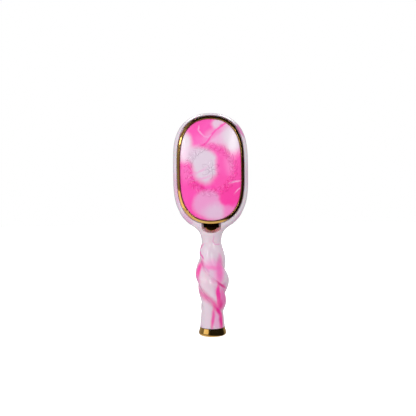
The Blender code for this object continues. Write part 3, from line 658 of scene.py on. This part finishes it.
def pin_profile():
    """(radius, y) up one pin: a tapered shaft, then a ball."""
    root = [(PIN_BASE + 0.12, STRIP_FRONT - 0.3), (PIN_BASE, STRIP_FRONT + 0.4)]
    profile = [*root, (0.74, 16.0), (0.66, 22.0), (PIN_NECK, 27.2)]
    centre = PIN_END - PIN_TIP
    for turn in arc(-52, 84, 12):
        profile.append((PIN_TIP * math.cos(turn), centre + PIN_TIP * math.sin(turn)))
    return profile


def pin_row(number, z, places):
    """A moulded strip with rounded ends and its round pins."""
    half = places[-1] + PIN_PITCH / 2
    outline = [
        (half - STRIP_HALF + STRIP_HALF * math.sin(t), z - STRIP_HALF * math.cos(t))
        for t in arc(0, 180, 12)
    ]
    outline += [(-x, 2 * z - up) for x, up in outline]
    strip = prism_y(f"pin_row_{number:02d}_nylon", outline, STRIP_BACK, STRIP_FRONT)
    pins = [turned(f"pin_{number}_{k}", pin_profile(), 20, (x, 0, z), "Y") for k, x in enumerate(places)]
    carve(strip, pins, "UNION")
    return shade(strip, 40.0)


def well_liner():
    outline = oval(LINER_A, LINER_B, LINER_Z, 140)
    liner = prism_y("well_liner_sheet", outline, LINER_BACK, LINER_FRONT)
    return shade(soften(liner, 0.25), 40.0)


def tray_screw(number, x, z):
    """Pan-head screw with a cross recess."""
    profile = [(0.02, -1.3), (0.9, -1.3), (1.7, -1.15), (2.1, -0.85), (2.2, -0.55), (2.2, -0.3), (0.65, -0.3)]
    for step in range(9):
        y = 0.1 + 0.35 * step
        profile += [(0.65, y), (0.5, y + 0.175)]
    profile.append((0.2, 3.4))
    screw = turned(f"tray_screw_{number}_steel", profile, 28, (x, 0, z), "Y")
    slots = [box("slot_a", (x - 1.1, -2.0, z - 0.2), (x + 1.1, -0.85, z + 0.2)),
             box("slot_b", (x - 0.2, -2.0, z - 1.1), (x + 0.2, -0.84, z + 1.1))]
    return shade(carve(screw, slots), 32.0)


def end_cap():
    """Flared cap: a flat foot, a soft outer bead, a waist and a fine top edge."""
    outer = ((12.0, 0.0), (12.75, 0.12), (13.3, 0.5), (13.68, 1.1), (13.8, 1.8), (13.72, 2.7),
             (13.45, 3.7), (13.05, 4.8), (12.72, 5.9), (12.5, 6.9), (12.42, 7.25), (12.25, 7.4))
    inner = ((11.2, 7.4), (11.2, 2.0), (4.1, 2.0), (4.1, 15.7), (3.8, 16.0))
    return shade(turned("end_cap_shell", outer + inner, 128), 34.0)


# ------------------------ materials
def srgb(code):
    """Linear colour of a hex code."""
    values = [int(code[i:i + 2], 16) / 255 for i in (1, 3, 5)]
    linear = [v / 12.92 if v <= 0.04045 else ((v + 0.055) / 1.055) ** 2.4 for v in values]
    return (*linear, 1.0)


PALE = "#E8D5E2"
HOT, ROSE = "#FF58B8", "#F93FA6"


def new_node(tree, kind, values=(), **settings):
    made = tree.nodes.new("ShaderNode" + kind)
    for key, value in settings.items():
        setattr(made, key, value)
    for key, value in dict(values).items():
        made.inputs[key].default_value = value
    return made


class Paint:
    """Builds one Principled material, whose colour is layered from soft shapes in millimetres."""

    def __init__(self, name, roughness, metallic=0.0):
        self.material = bpy.data.materials.new(name)
        self.material.use_nodes = True
        self.tree = self.material.node_tree
        self.shader = self.tree.nodes["Principled BSDF"]
        self.shader.inputs["Roughness"].default_value = roughness
        self.shader.inputs["Metallic"].default_value = metallic
        coordinates = self.node("TexCoord")
        millimetres = self.node("VectorMath", {"Scale": 1 / MM}, operation="SCALE")
        self.link(coordinates.outputs["Object"], millimetres.inputs[0])
        self.place = millimetres.outputs[0]
        self.colour = None
        self.depth = (-14.0, 15.0)

    def node(self, kind, values=(), **settings):
        """A shader node, with its settings and the values of its inputs."""
        return new_node(self.tree, kind, values, **settings)

    def link(self, out, into):
        self.tree.links.new(out, into)

    def noise(self, size, detail=3.0, roughness=0.5, distortion=0.0, stretch=(1, 1, 1)):
        """A noise whose features are about size millimetres across."""
        scale = self.node("Mapping", {"Scale": [share / size for share in stretch]})
        self.link(self.place, scale.inputs["Vector"])
        values = {"Scale": 1.0, "Detail": detail, "Roughness": roughness, "Distortion": distortion}
        made = self.node("TexNoise", values)
        self.link(scale.outputs[0], made.inputs["Vector"])
        return made.outputs["Fac"]

    def warp(self, size, amount, detail=2.0):
        """Bends every later shape by up to about half of amount millimetres."""
        colours = self.noise(size, detail).node.outputs["Color"]
        centred = self.node("VectorMath", {1: (0.5, 0.5, 0.5)}, operation="SUBTRACT")
        self.link(colours, centred.inputs[0])
        scaled = self.node("VectorMath", {"Scale": amount}, operation="SCALE")
        self.link(centred.outputs[0], scaled.inputs[0])
        moved = self.node("VectorMath", operation="ADD")
        self.link(self.place, moved.inputs[0])
        self.link(scaled.outputs[0], moved.inputs[1])
        self.place = moved.outputs[0]

    def ramp(self, value, stops):
        """Sets the colour that everything else is layered on, from (value, colour) stops."""
        made = self.node("ValToRGB")
        made.color_ramp.interpolation = "EASE"
        elements = made.color_ramp.elements
        while len(elements) < len(stops):
            elements.new(0.5)
        for element, (position, code) in zip(elements, stops):
            element.position = position
            element.color = srgb(code)
        self.link(value, made.inputs["Fac"])
        self.colour = made.outputs["Color"]

    def spread(self, value, low, high, out_low=0.0, out_high=1.0):
        values = {"From Min": low, "From Max": high, "To Min": out_low, "To Max": out_high}
        made = self.node("MapRange", values, interpolation_type="SMOOTHSTEP")
        self.link(value, made.inputs["Value"])
        return made.outputs["Result"]

    def blend_in(self, code, mask):
        mix = self.node("Mix", {7: srgb(code)}, data_type="RGBA")
        self.link(mask, mix.inputs[0])
        self.link(self.colour, mix.inputs[6])
        self.colour = mix.outputs[2]

    def blob(self, code, centre, size, soft, strength, turn=0.0, depth=None):
        """An ellipse of colour at (x, z), turned from +X toward +Z.

        depth is the middle and the half depth of the ellipsoid along Y, which keep it to one side.
        """
        middle, half_depth = depth or self.depth
        shape = self.node("Mapping", {
            "Location": (centre[0], middle, centre[1]),
            "Rotation": (0.0, -math.radians(turn), 0.0),
            "Scale": (size[0], half_depth, size[1]),
        }, vector_type="TEXTURE")
        self.link(self.place, shape.inputs["Vector"])
        length = self.node("VectorMath", operation="LENGTH")
        self.link(shape.outputs[0], length.inputs[0])
        mask = self.spread(length.outputs["Value"], 1 + soft, max(1 - soft, 0.0), 0.0, strength)
        self.blend_in(code, mask)

    def streak(self, code, points, half, soft, strength, depth=None):
        """A thin band of colour along a line of (x, z) points."""
        for (x0, z0), (x1, z1) in zip(points, points[1:]):
            length = math.hypot(x1 - x0, z1 - z0)
            turn = math.degrees(math.atan2(z1 - z0, x1 - x0))
            size = (length / 2 + half * 1.2, half)
            self.blob(code, ((x0 + x1) / 2, (z0 + z1) / 2), size, soft, strength, turn, depth)

    def lay_marbling_and_light(self, layers):
        """Lays patches and streaks down in turn. A streak has one half width, and a patch has two."""
        for layer in layers:
            shape = self.streak if isinstance(layer[2], float) else self.blob
            shape(*layer)

    def vary_roughness(self, value, low, high, out_low, out_high):
        self.link(self.spread(value, low, high, out_low, out_high), self.shader.inputs["Roughness"])

    def bump(self, height, strength, distance):
        made = self.node("Bump", {"Strength": strength, "Distance": distance * MM})
        self.link(height, made.inputs["Height"])
        self.link(made.outputs["Normal"], self.shader.inputs["Normal"])

    def finish(self, **inputs):
        if self.colour:
            self.link(self.colour, self.shader.inputs["Base Color"])
        for name, value in inputs.items():
            self.shader.inputs[name.replace("_", " ")].default_value = value
        return self.material


def gloss_detail(paint, roughness):
    """Faint handling marks in the gloss, and the slow ripple of moulded plastic."""
    marks = paint.noise(9.0, 4.0, 0.6, stretch=(1, 1, 0.5))
    paint.vary_roughness(marks, 0.35, 0.75, roughness, roughness + 0.09)
    ripple = paint.noise(14.0, 1.0)
    paint.bump(ripple, 0.12, 0.5)


# Light goes a few millimetres into the moulded plastic.
TRANSLUCENT = {
    "Subsurface_Weight": 0.35, "Subsurface_Radius": (0.005, 0.0022, 0.0032), "Subsurface_Scale": 1.0,
}


# Marbling, painted light and painted highlights, later shapes over earlier ones. A patch is (colour, middle,
# half size, softness, strength, turn, depth), and a streak is (colour, points, half width, softness,
# strength, depth).
NEAR_SIDE, ROUND_SIDE, LID_SIDE = (-14.0, 13.0), (-14.0, 19.0), (-14.0, 30.0)
BODY_MARBLING_AND_LIGHT = (
    # The rim and neck round the lid are pale, with a few pink wisps.
    ("#EEE0EA", (0.0, 166.0), (46.0, 62.0), 0.06, 0.9, 0.0, (-14.0, 14.0)),
    ("#E9D3DF", (-2.0, 100.0), (14.0, 16.0), 0.4, 0.9),
    # Painted light and shade: inside the thumb notch the walls are painted rose, for the warm look of lit and
    # shaded pink plastic there.
    ("#F8AEB4", (0.0, 105.5), (10.4, 5.6), 0.12, 1.0, 0.0, (-8.2, 2.6)),
    ("#E88CC6", (30.5, 200.5), (8.5, 2.6), 0.35, 0.95, -54),
    ("#EFA3D3", (-33.0, 143.0), (2.2, 17.0), 0.6, 0.6, 4),
    ("#E9A9D2", (-24.0, 115.5), (8.0, 3.6), 0.6, 0.75, -46),
    ("#E9B4D6", (27.0, 117.0), (6.0, 1.6), 0.6, 0.7, 48),
    ("#E3A9CF", (36.0, 160.0), (2.0, 12.0), 0.7, 0.5),
)
# What follows the twist on the back of the handle, from the neck down.
HANDLE_MARBLING = (
    (PALE, (-1.0, 82.0), (13.0, 9.0), 0.4, 0.95),
    ("#EBA0D0", ((2.6, 98.3), (1.6, 92.9), (3.6, 89.9), (8.3, 89.5)), 0.55, 0.5, 0.75),
    ("#F05DB6", ((-8.2, 90.2), (-11.4, 84.9), (-10.3, 80.8), (-7.9, 76.5)), 0.9, 0.5, 0.9),
    ("#F4ADD8", (2.5, 64.0), (13.0, 11.5), 0.35, 0.95),
    ("#FF8BCB", (1.5, 67.6), (9.5, 2.0), 0.6, 0.8, -4),
    ("#F573C0", ((-9.2, 74.1), (-7.6, 66.0)), 1.6, 0.7, 0.85),
    ("#DC7DBB", ((-6.2, 66.5), (-2.6, 62.5)), 1.2, 0.8, 0.6),
    ("#FA7AC4", ((8.5, 76.0), (7.4, 64.0), (7.6, 53.0)), 2.8, 0.6, 0.85),
    ("#E6C6DE", (-0.6, 61.5), (2.6, 4.6), 0.6, 0.85),
    ("#E6D2DF", (14.8, 62.0), (2.6, 14.0), 0.5, 0.9),
    ("#ECD4E2", (-5.5, 51.0), (6.6, 17.5), 0.35, 0.98, 20),
    ("#FF48AE", ((-11.0, 70.8), (-13.4, 64.5), (-15.2, 56.5)), 2.3, 0.6, 0.95, ROUND_SIDE),
    ("#F090C8", ((-15.0, 58.0), (-14.2, 50.0), (-12.0, 43.5)), 2.8, 0.8, 0.85),
    ("#EE4FA6", ((-11.4, 43.4), (-3.4, 35.8), (4.6, 30.0)), 3.2, 0.9, 0.85),
    ("#F07FC0", (11.4, 37.5), (4.8, 12.5), 0.45, 0.95, 0.0, ROUND_SIDE),
    ("#FF48AE", (6.1, 40.5), (2.2, 11.0), 0.4, 1.0),
    ("#F03C9C", ((7.9, 33.0), (7.9, 27.5)), 2.6, 0.6, 0.95),
    ("#EC3C9C", ((6.4, 52.6), (13.6, 46.0)), 1.1, 0.7, 0.95),
    (PALE, (-5.5, 20.0), (7.2, 15.0), 0.3, 0.96),
    ("#F2B2DA", (4.4, 17.0), (4.8, 9.5), 0.4, 0.9),
    ("#FB5FB0", ((1.4, 28.0), (-0.8, 8.0)), 1.7, 0.7, 0.95),
    ("#F4359E", ((3.6, 28.8), (7.8, 21.0), (9.4, 8.0)), 2.2, 0.6, 1.0),
    ("#DDCDDB", (12.0, 16.0), (1.6, 9.0), 0.5, 0.8),
)
LID_MARBLING_AND_HIGHLIGHTS = (
    (HOT, (-9.0, 201.0), (13.0, 13.0), 0.4, 0.75),
    ("#FF7CCB", (-8.0, 190.5), (11.0, 6.0), 0.7, 0.6),
    # Upper right: pale plastic with a painted highlight, crossed by one hot streak.
    ("#F2BCE0", (7.0, 193.0), (13.0, 9.5), 0.5, 0.9, 35),
    ("#EBCBE3", (9.4, 207.0), (8.0, 5.6), 0.35, 0.95, -14),
    ("#E6D3E3", (21.5, 193.5), (10.0, 15.0), 0.5, 1.0, 8),
    # Painted highlight: the soft reflection of the upper right softbox.
    ("#EADFE8", (21.0, 190.6), (5.5, 8.0), 0.8, 0.6, 8),
    ("#FB79C6", ((14.0, 206.0), (3.0, 197.0), (-8.0, 187.0)), 3.0, 0.8, 0.6),
    (HOT, ((15.4, 208.0), (6.7, 202.4), (0.0, 194.6), (-5.0, 188.6), (-12.2, 183.2)), 1.0, 0.5, 0.95),
    ("#FCA3DA", ((-10.7, 205.8), (-11.3, 201.8), (-6.6, 195.3), (-2.6, 194.2), (0.5, 196.5)), 0.7, 0.5, 0.85),
    ("#FF5DBB", (4.0, 184.0), (9.5, 4.0), 0.6, 0.85, -12),
    # Left: a white patch, a pale patch with a painted highlight in it, and pale pink that runs into the disc.
    ("#F3D3E8", (-22.5, 178.5), (10.5, 8.0), 0.5, 0.95, 10),
    # Pale plastic with a painted highlight: the soft reflection of the upper left softbox.
    ("#EAD8E6", (-25.2, 189.8), (6.4, 8.2), 0.5, 1.0, -10),
    ("#E6CBE0", (-12.5, 176.5), (10.5, 8.0), 0.5, 0.95, -30),
    ("#E3D0E1", (-5.3, 166.4), (12.6, 17.0), 0.26, 1.0, 10),
    ("#F0A9D6", ((-17.5, 157.5), (-6.5, 163.0)), 1.0, 0.9, 0.7),
    ("#F0A9D6", ((-14.0, 152.5), (-3.0, 156.5)), 0.9, 0.9, 0.7),
    # Right: hot beside the disc, softer toward the ring.
    ("#FF5CB8", (11.5, 166.0), (5.5, 13.0), 0.6, 0.9, 8),
    ("#FB92D0", (19.5, 169.0), (5.0, 9.0), 0.8, 0.6),
    ("#FF4BAF", (26.5, 160.0), (4.6, 17.0), 0.6, 0.85),
    ("#FF50B0", (10.5, 151.5), (10.0, 6.6), 0.6, 0.85),
    ("#FF86CE", (-24.0, 158.0), (5.0, 9.0), 0.8, 0.6),
    ("#FF50B5", (-22.0, 136.0), (8.0, 17.0), 0.5, 0.85, 14),
    # Handle end: a two-tone pale patch between two hot ones.
    ("#F09BD0", (-3.2, 129.5), (14.0, 13.2), 0.22, 1.0),
    ("#E4C0DC", (4.0, 121.0), (10.5, 8.4), 0.6, 0.95),
    ("#FF3FA8", (18.6, 137.6), (11.6, 9.4), 0.2, 0.95, 16),
    ("#F486C8", (18.5, 121.5), (6.4, 5.6), 0.5, 0.9, 34),
    ("#FFB0DE", ((24.0, 140.2), (28.6, 144.6)), 0.6, 0.7, 0.8),
    ("#FFB0DE", ((20.5, 149.6), (28.6, 151.6)), 0.8, 0.8, 0.8),
)


def body_marbling_and_light():
    paint = Paint("marbled_body_and_light", 0.14)
    paint.warp(14.0, 3.0)
    paint.warp(4.0, 0.7)
    clouds = paint.noise(26.0, 3.0, 0.55, 1.6, stretch=(1, 1, 0.7))
    paint.ramp(clouds, (
        (0.30, "#EEE1EB"), (0.50, PALE), (0.60, "#E6B9D9"), (0.68, "#E7A0CE"), (0.80, "#EE6FBC"),
    ))
    paint.lay_marbling_and_light(BODY_MARBLING_AND_LIGHT)
    paint.depth = NEAR_SIDE
    paint.lay_marbling_and_light(HANDLE_MARBLING)
    gloss_detail(paint, 0.13)
    return paint.finish(Coat_Weight=0.6, Coat_Roughness=0.04, Specular_IOR_Level=0.5, **TRANSLUCENT)


def lid_marbling_and_highlights():
    paint = Paint("marbled_lid_and_highlights", 0.12)
    paint.warp(13.0, 4.6)
    paint.warp(4.0, 1.7)
    clouds = paint.noise(20.0, 3.0, 0.5, 1.2, stretch=(1, 1, 0.8))
    paint.ramp(clouds, ((0.30, "#FF74C8"), (0.50, "#FF58B9"), (0.66, ROSE)))
    paint.depth = LID_SIDE
    paint.lay_marbling_and_light(LID_MARBLING_AND_HIGHLIGHTS)
    gloss_detail(paint, 0.2)
    return paint.finish(Coat_Weight=0.2, Coat_Roughness=0.12, Specular_IOR_Level=0.45)


def gold_plating(name, code_low, code_high, roughness, shaded=False):
    """Polished plating: slow tone drift, hairline polishing marks and a trace of orange peel. With shaded,
    painted shade darkens the latch's plate behind its lip.
    """
    paint = Paint(name, roughness, 1.0)
    drift = paint.noise(12.0, 3.0)
    paint.ramp(drift, ((0.3, code_low), (0.7, code_high)))
    if shaded:  # Painted shade and painted dark reflection: the latch's plate behind its lip is painted near black, for the shade under the ring and the dark room it reflects.
        paint.blob("#3A1708", (0.0, 109.6), (10.0, 3.2), soft=0.3, strength=0.95)
    hairlines = paint.noise(0.9, 3.0, stretch=(1, 1, 0.12))
    paint.vary_roughness(hairlines, 0.3, 0.7, roughness, roughness + 0.04)
    peel = paint.noise(6.0, 1.0)
    paint.bump(peel, 0.03, 0.2)
    return paint.finish()


def moulded_plastic(name, code_low, code_high, roughness, grain, strength):
    """Satin plastic with a fine spark-eroded grain."""
    paint = Paint(name, roughness)
    drift = paint.noise(18.0, 3.0)
    paint.ramp(drift, ((0.3, code_low), (0.7, code_high)))
    texture = paint.noise(grain, 4.0, 0.6)
    paint.vary_roughness(texture, 0.3, 0.7, roughness - 0.05, roughness + 0.08)
    paint.bump(texture, strength, 0.08)
    return paint.finish()


def cushion_rubber():
    paint = Paint("cushion_rubber", 0.5)
    drift = paint.noise(22.0, 4.0, 0.6)
    paint.ramp(drift, ((0.3, "#EFC3D8"), (0.55, "#F3CCDE"), (0.75, "#EDB9D2")))
    grain = paint.noise(0.35, 3.0, 0.6)
    paint.vary_roughness(grain, 0.3, 0.7, 0.42, 0.58)
    paint.bump(grain, 0.25, 0.05)
    return paint.finish(Sheen_Weight=0.15, Sheen_Roughness=0.5)


def pin_nylon():
    """Translucent nylon, a little deeper at the root than at the ball."""
    paint = Paint("pin_nylon", 0.25)
    split = paint.node("SeparateXYZ")
    paint.link(paint.place, split.inputs[0])
    mottle = paint.noise(3.0, 2.0)
    up = paint.node("Math", {1: 3.0}, operation="MULTIPLY_ADD")
    paint.link(mottle, up.inputs[0])
    paint.link(split.outputs["Y"], up.inputs[2])
    share = paint.spread(up.outputs[0], 8.0, 31.0)
    paint.ramp(share, ((0.0, "#E64C9E"), (0.7, "#F06DB5"), (1.0, "#F58CC6")))
    paint.bump(mottle, 0.1, 0.1)
    return paint.finish(Subsurface_Weight=0.15, Subsurface_Radius=(0.002, 0.001, 0.001), Coat_Weight=0.2)


def mirror_silver():
    paint = Paint("mirror_silver", 0.02, 1.0)
    smudge = paint.noise(16.0, 5.0, 0.65)
    paint.ramp(smudge, ((0.35, "#EEF0F2"), (0.7, "#E2E5E8")))
    paint.vary_roughness(smudge, 0.5, 0.8, 0.015, 0.09)
    return paint.finish()


def liner_foam():
    paint = Paint("liner_foam", 0.85)
    cells = paint.noise(0.8, 3.0, 0.7)
    paint.ramp(cells, ((0.35, "#E9D3DF"), (0.65, "#F4E7EE")))
    paint.bump(cells, 0.5, 0.15)
    return paint.finish(Sheen_Weight=0.2)


def plain_steel():
    paint = Paint("plain_steel", 0.25, 1.0)
    lines = paint.noise(0.8, 4.0, stretch=(0.1, 1, 1))
    paint.ramp(lines, ((0.3, "#B4B6B8"), (0.7, "#CDCFD0")))
    paint.vary_roughness(lines, 0.3, 0.7, 0.2, 0.36)
    return paint.finish()


def floor_white():
    """Pale sweep that lifts itself to white, so only the softest contact shade is left."""
    grey, white = (0.93, 0.93, 0.93, 1.0), (1.0, 1.0, 1.0, 1.0)
    glow = {"Emission_Color": white, "Emission_Strength": 0.75}
    return Paint("floor_white", 0.9).finish(Base_Color=grey, Specular_IOR_Level=0.0, **glow)


# ------------------------ assembly
def place(piece, body, node, material):
    """Gives a piece its material, its body and the frame node that it stands for."""
    piece.data.materials.clear()
    piece.data.materials.append(material)
    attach(piece, body)
    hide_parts(node)
    return piece


def dress_node(node, material):
    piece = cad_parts[node]
    for slot in piece.material_slots:
        slot.material = material


def build_object():
    marbled_and_lit, lid_marble_and_highlights = body_marbling_and_light(), lid_marbling_and_highlights()
    gold = gold_plating("gold_plating", "#D2A253", "#E2B76A", 0.06)
    # Painted shade: the latch's gold is a darker copy of the ring's gold, for the shade under the ring and
    # the dark room that it reflects.
    latch_gold_and_shade = gold_plating("latch_gold_and_shade", "#A8702C", "#BE8538", 0.12, shaded=True)
    inner = moulded_plastic("inner_plastic", "#EFCFDF", "#F5DCE8", 0.38, 0.6, 0.2)
    steel, nylon, foam = plain_steel(), pin_nylon(), liner_foam()
    place(brush_body(), "body", "brush_body", marbled_and_lit)
    place(lid_panel(), "lid", "lid_panel", lid_marble_and_highlights)
    place(lid_ring(), "lid", "lid_ring", gold)
    place(lid_frame(), "lid", "lid_frame", inner)
    place(mirror(), "lid", "mirror", mirror_silver())
    place(thumb_latch(), "latch", "thumb_latch", latch_gold_and_shade)
    spring = place(latch_spring(), "body", "latch_spring", steel)
    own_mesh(spring)
    place(well_liner(), "body", "well_liner", foam)
    place(front_bezel(), "body", "front_bezel", marbled_and_lit)
    place(end_cap(), "body", "end_cap", gold)
    pad = place(cushion_pad(), "body", "cushion_pad", cushion_rubber())
    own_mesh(pad)
    for number, z, places in pin_rows():
        place(pin_row(number, z, places), "pin_bed", f"pin_row_{number:02d}", nylon)
    for number, (x, z) in enumerate(screw_places(), 1):
        place(tray_screw(number, x, z), "body", f"tray_screw_{number}", steel)
    for node in ("cushion_tray", "cap_plug"):
        dress_node(node, inner)
    dress_node("hinge_pin", steel)
    dress_node("mirror_tape", moulded_plastic("mounting_tape", "#CFCBC6", "#DAD6D1", 0.7, 0.4, 0.4))


# ------------------------ studio
FILL, DARK_ROOM = 0.85, 0.015
# What polished parts see in the dark room: (direction, where it starts, where it is full, strength).
REFLECTIONS = (
    ((-1, 0, 0), 0.3, 0.75, 0.28),  # a reflector at the left
    ((0, 1, 0), 0.15, 0.75, 0.42),  # the backdrop
    ((-0.35, 0, -0.94), 0.5, 0.68, 0.88),  # the table below
)


def direction_share(tree, axis, low, high):
    """A value that rises from 0 to 1 as the world's direction turns toward an axis."""
    coordinates = new_node(tree, "TexCoord")
    along = new_node(tree, "VectorMath", {1: axis}, operation="DOT_PRODUCT")
    share = new_node(tree, "MapRange", {"From Min": low, "From Max": high}, interpolation_type="SMOOTHSTEP")
    tree.links.new(coordinates.outputs["Generated"], along.inputs[0])
    tree.links.new(along.outputs["Value"], share.inputs["Value"])
    return share.outputs["Result"]


def background(tree, strength):
    white = (1.0, 1.0, 1.0, 1.0)
    return new_node(tree, "Background", {"Color": white, "Strength": strength}).outputs[0]


def either(tree, share, first, second):
    mix = new_node(tree, "MixShader")
    tree.links.new(share, mix.inputs[0])
    tree.links.new(first, mix.inputs[1])
    tree.links.new(second, mix.inputs[2])
    return mix.outputs[0]


def room_light():
    """White backdrop and even fill. Polished parts see a dark room, lit from the left and below."""
    world = bpy.data.worlds.new("studio")
    bpy.context.scene.world = world
    world.use_nodes = True
    tree = world.node_tree
    tree.nodes.clear()
    path = new_node(tree, "LightPath")
    out = new_node(tree, "OutputWorld")
    seen = background(tree, DARK_ROOM)
    for axis, low, high, strength in REFLECTIONS:
        seen = either(tree, direction_share(tree, axis, low, high), seen, background(tree, strength))
    lit = either(tree, path.outputs["Is Glossy Ray"], background(tree, FILL), seen)
    whole = either(tree, path.outputs["Is Camera Ray"], lit, background(tree, 1.0))
    tree.links.new(whole, out.inputs["Surface"])


def softbox(name, azimuth, elevation, distance, size, radiance, aim=(0.0, -0.01, 0.17)):
    """A rectangular light aimed at the brush. Azimuth 0 is the lid's side, and + is to the right."""
    aim = Vector(aim)
    turn, lift = math.radians(azimuth), math.radians(elevation)
    way = Vector((math.sin(turn) * math.cos(lift), -math.cos(turn) * math.cos(lift), math.sin(lift)))
    data = bpy.data.lights.new(name, "AREA")
    data.shape = "RECTANGLE"
    data.size, data.size_y = size
    data.energy = radiance * math.pi * size[0] * size[1]
    made = bpy.data.objects.new(name, data)
    made.location = aim + way * distance
    made.rotation_euler = (-way).to_track_quat("-Z", "Y").to_euler()
    bpy.context.scene.collection.objects.link(made)


def studio():
    room_light()
    softbox("softbox_left", -27, 17, 0.4, (0.05, 0.13), 7.5)
    softbox("softbox_right", 22, 17, 0.4, (0.05, 0.13), 7.5)
    softbox("ring_kick", -54, 20, 0.9, (0.12, 0.12), 4.5)
    softbox("low_card", -58, 13, 0.3, (0.24, 0.12), 0.95, aim=(0.0, 0.0, 0.005))
    softbox("far_side_left", -150, 50, 0.9, (0.3, 0.3), 4.0)
    softbox("far_side_right", 150, 50, 0.9, (0.3, 0.3), 4.0)
    reach, down = 3000.0, -0.2
    corners = [(-reach, -reach, down), (reach, -reach, down), (reach, reach, down), (-reach, reach, down)]
    floor = new_object("studio_floor", corners, [(0, 1, 2, 3)])
    if floor.data.polygons[0].normal.z < 0:
        floor.data.flip_normals()
    floor.data.materials.append(floor_white())
    floor.visible_glossy = False
    floor.visible_diffuse = False


VIEW_DEGREES, VIEW_ROLL, VIEW_PLACE = 47.0, -0.74, (-0.003, -0.478, 0.1257)


def camera():
    data = bpy.data.cameras.new("view")
    data.sensor_width = 36.0
    data.lens = data.sensor_width / 2 / math.tan(math.radians(VIEW_DEGREES / 2))
    data.clip_start = 0.01
    made = bpy.data.objects.new("view", data)
    look = Matrix.Rotation(math.radians(90), 4, "X")
    roll = Matrix.Rotation(math.radians(VIEW_ROLL), 4, "Z")
    made.matrix_world = Matrix.Translation(VIEW_PLACE) @ look @ roll
    bpy.context.scene.collection.objects.link(made)
    bpy.context.scene.camera = made


build_object()
studio()
camera()
bpy.context.scene.view_settings.view_transform = "Standard"
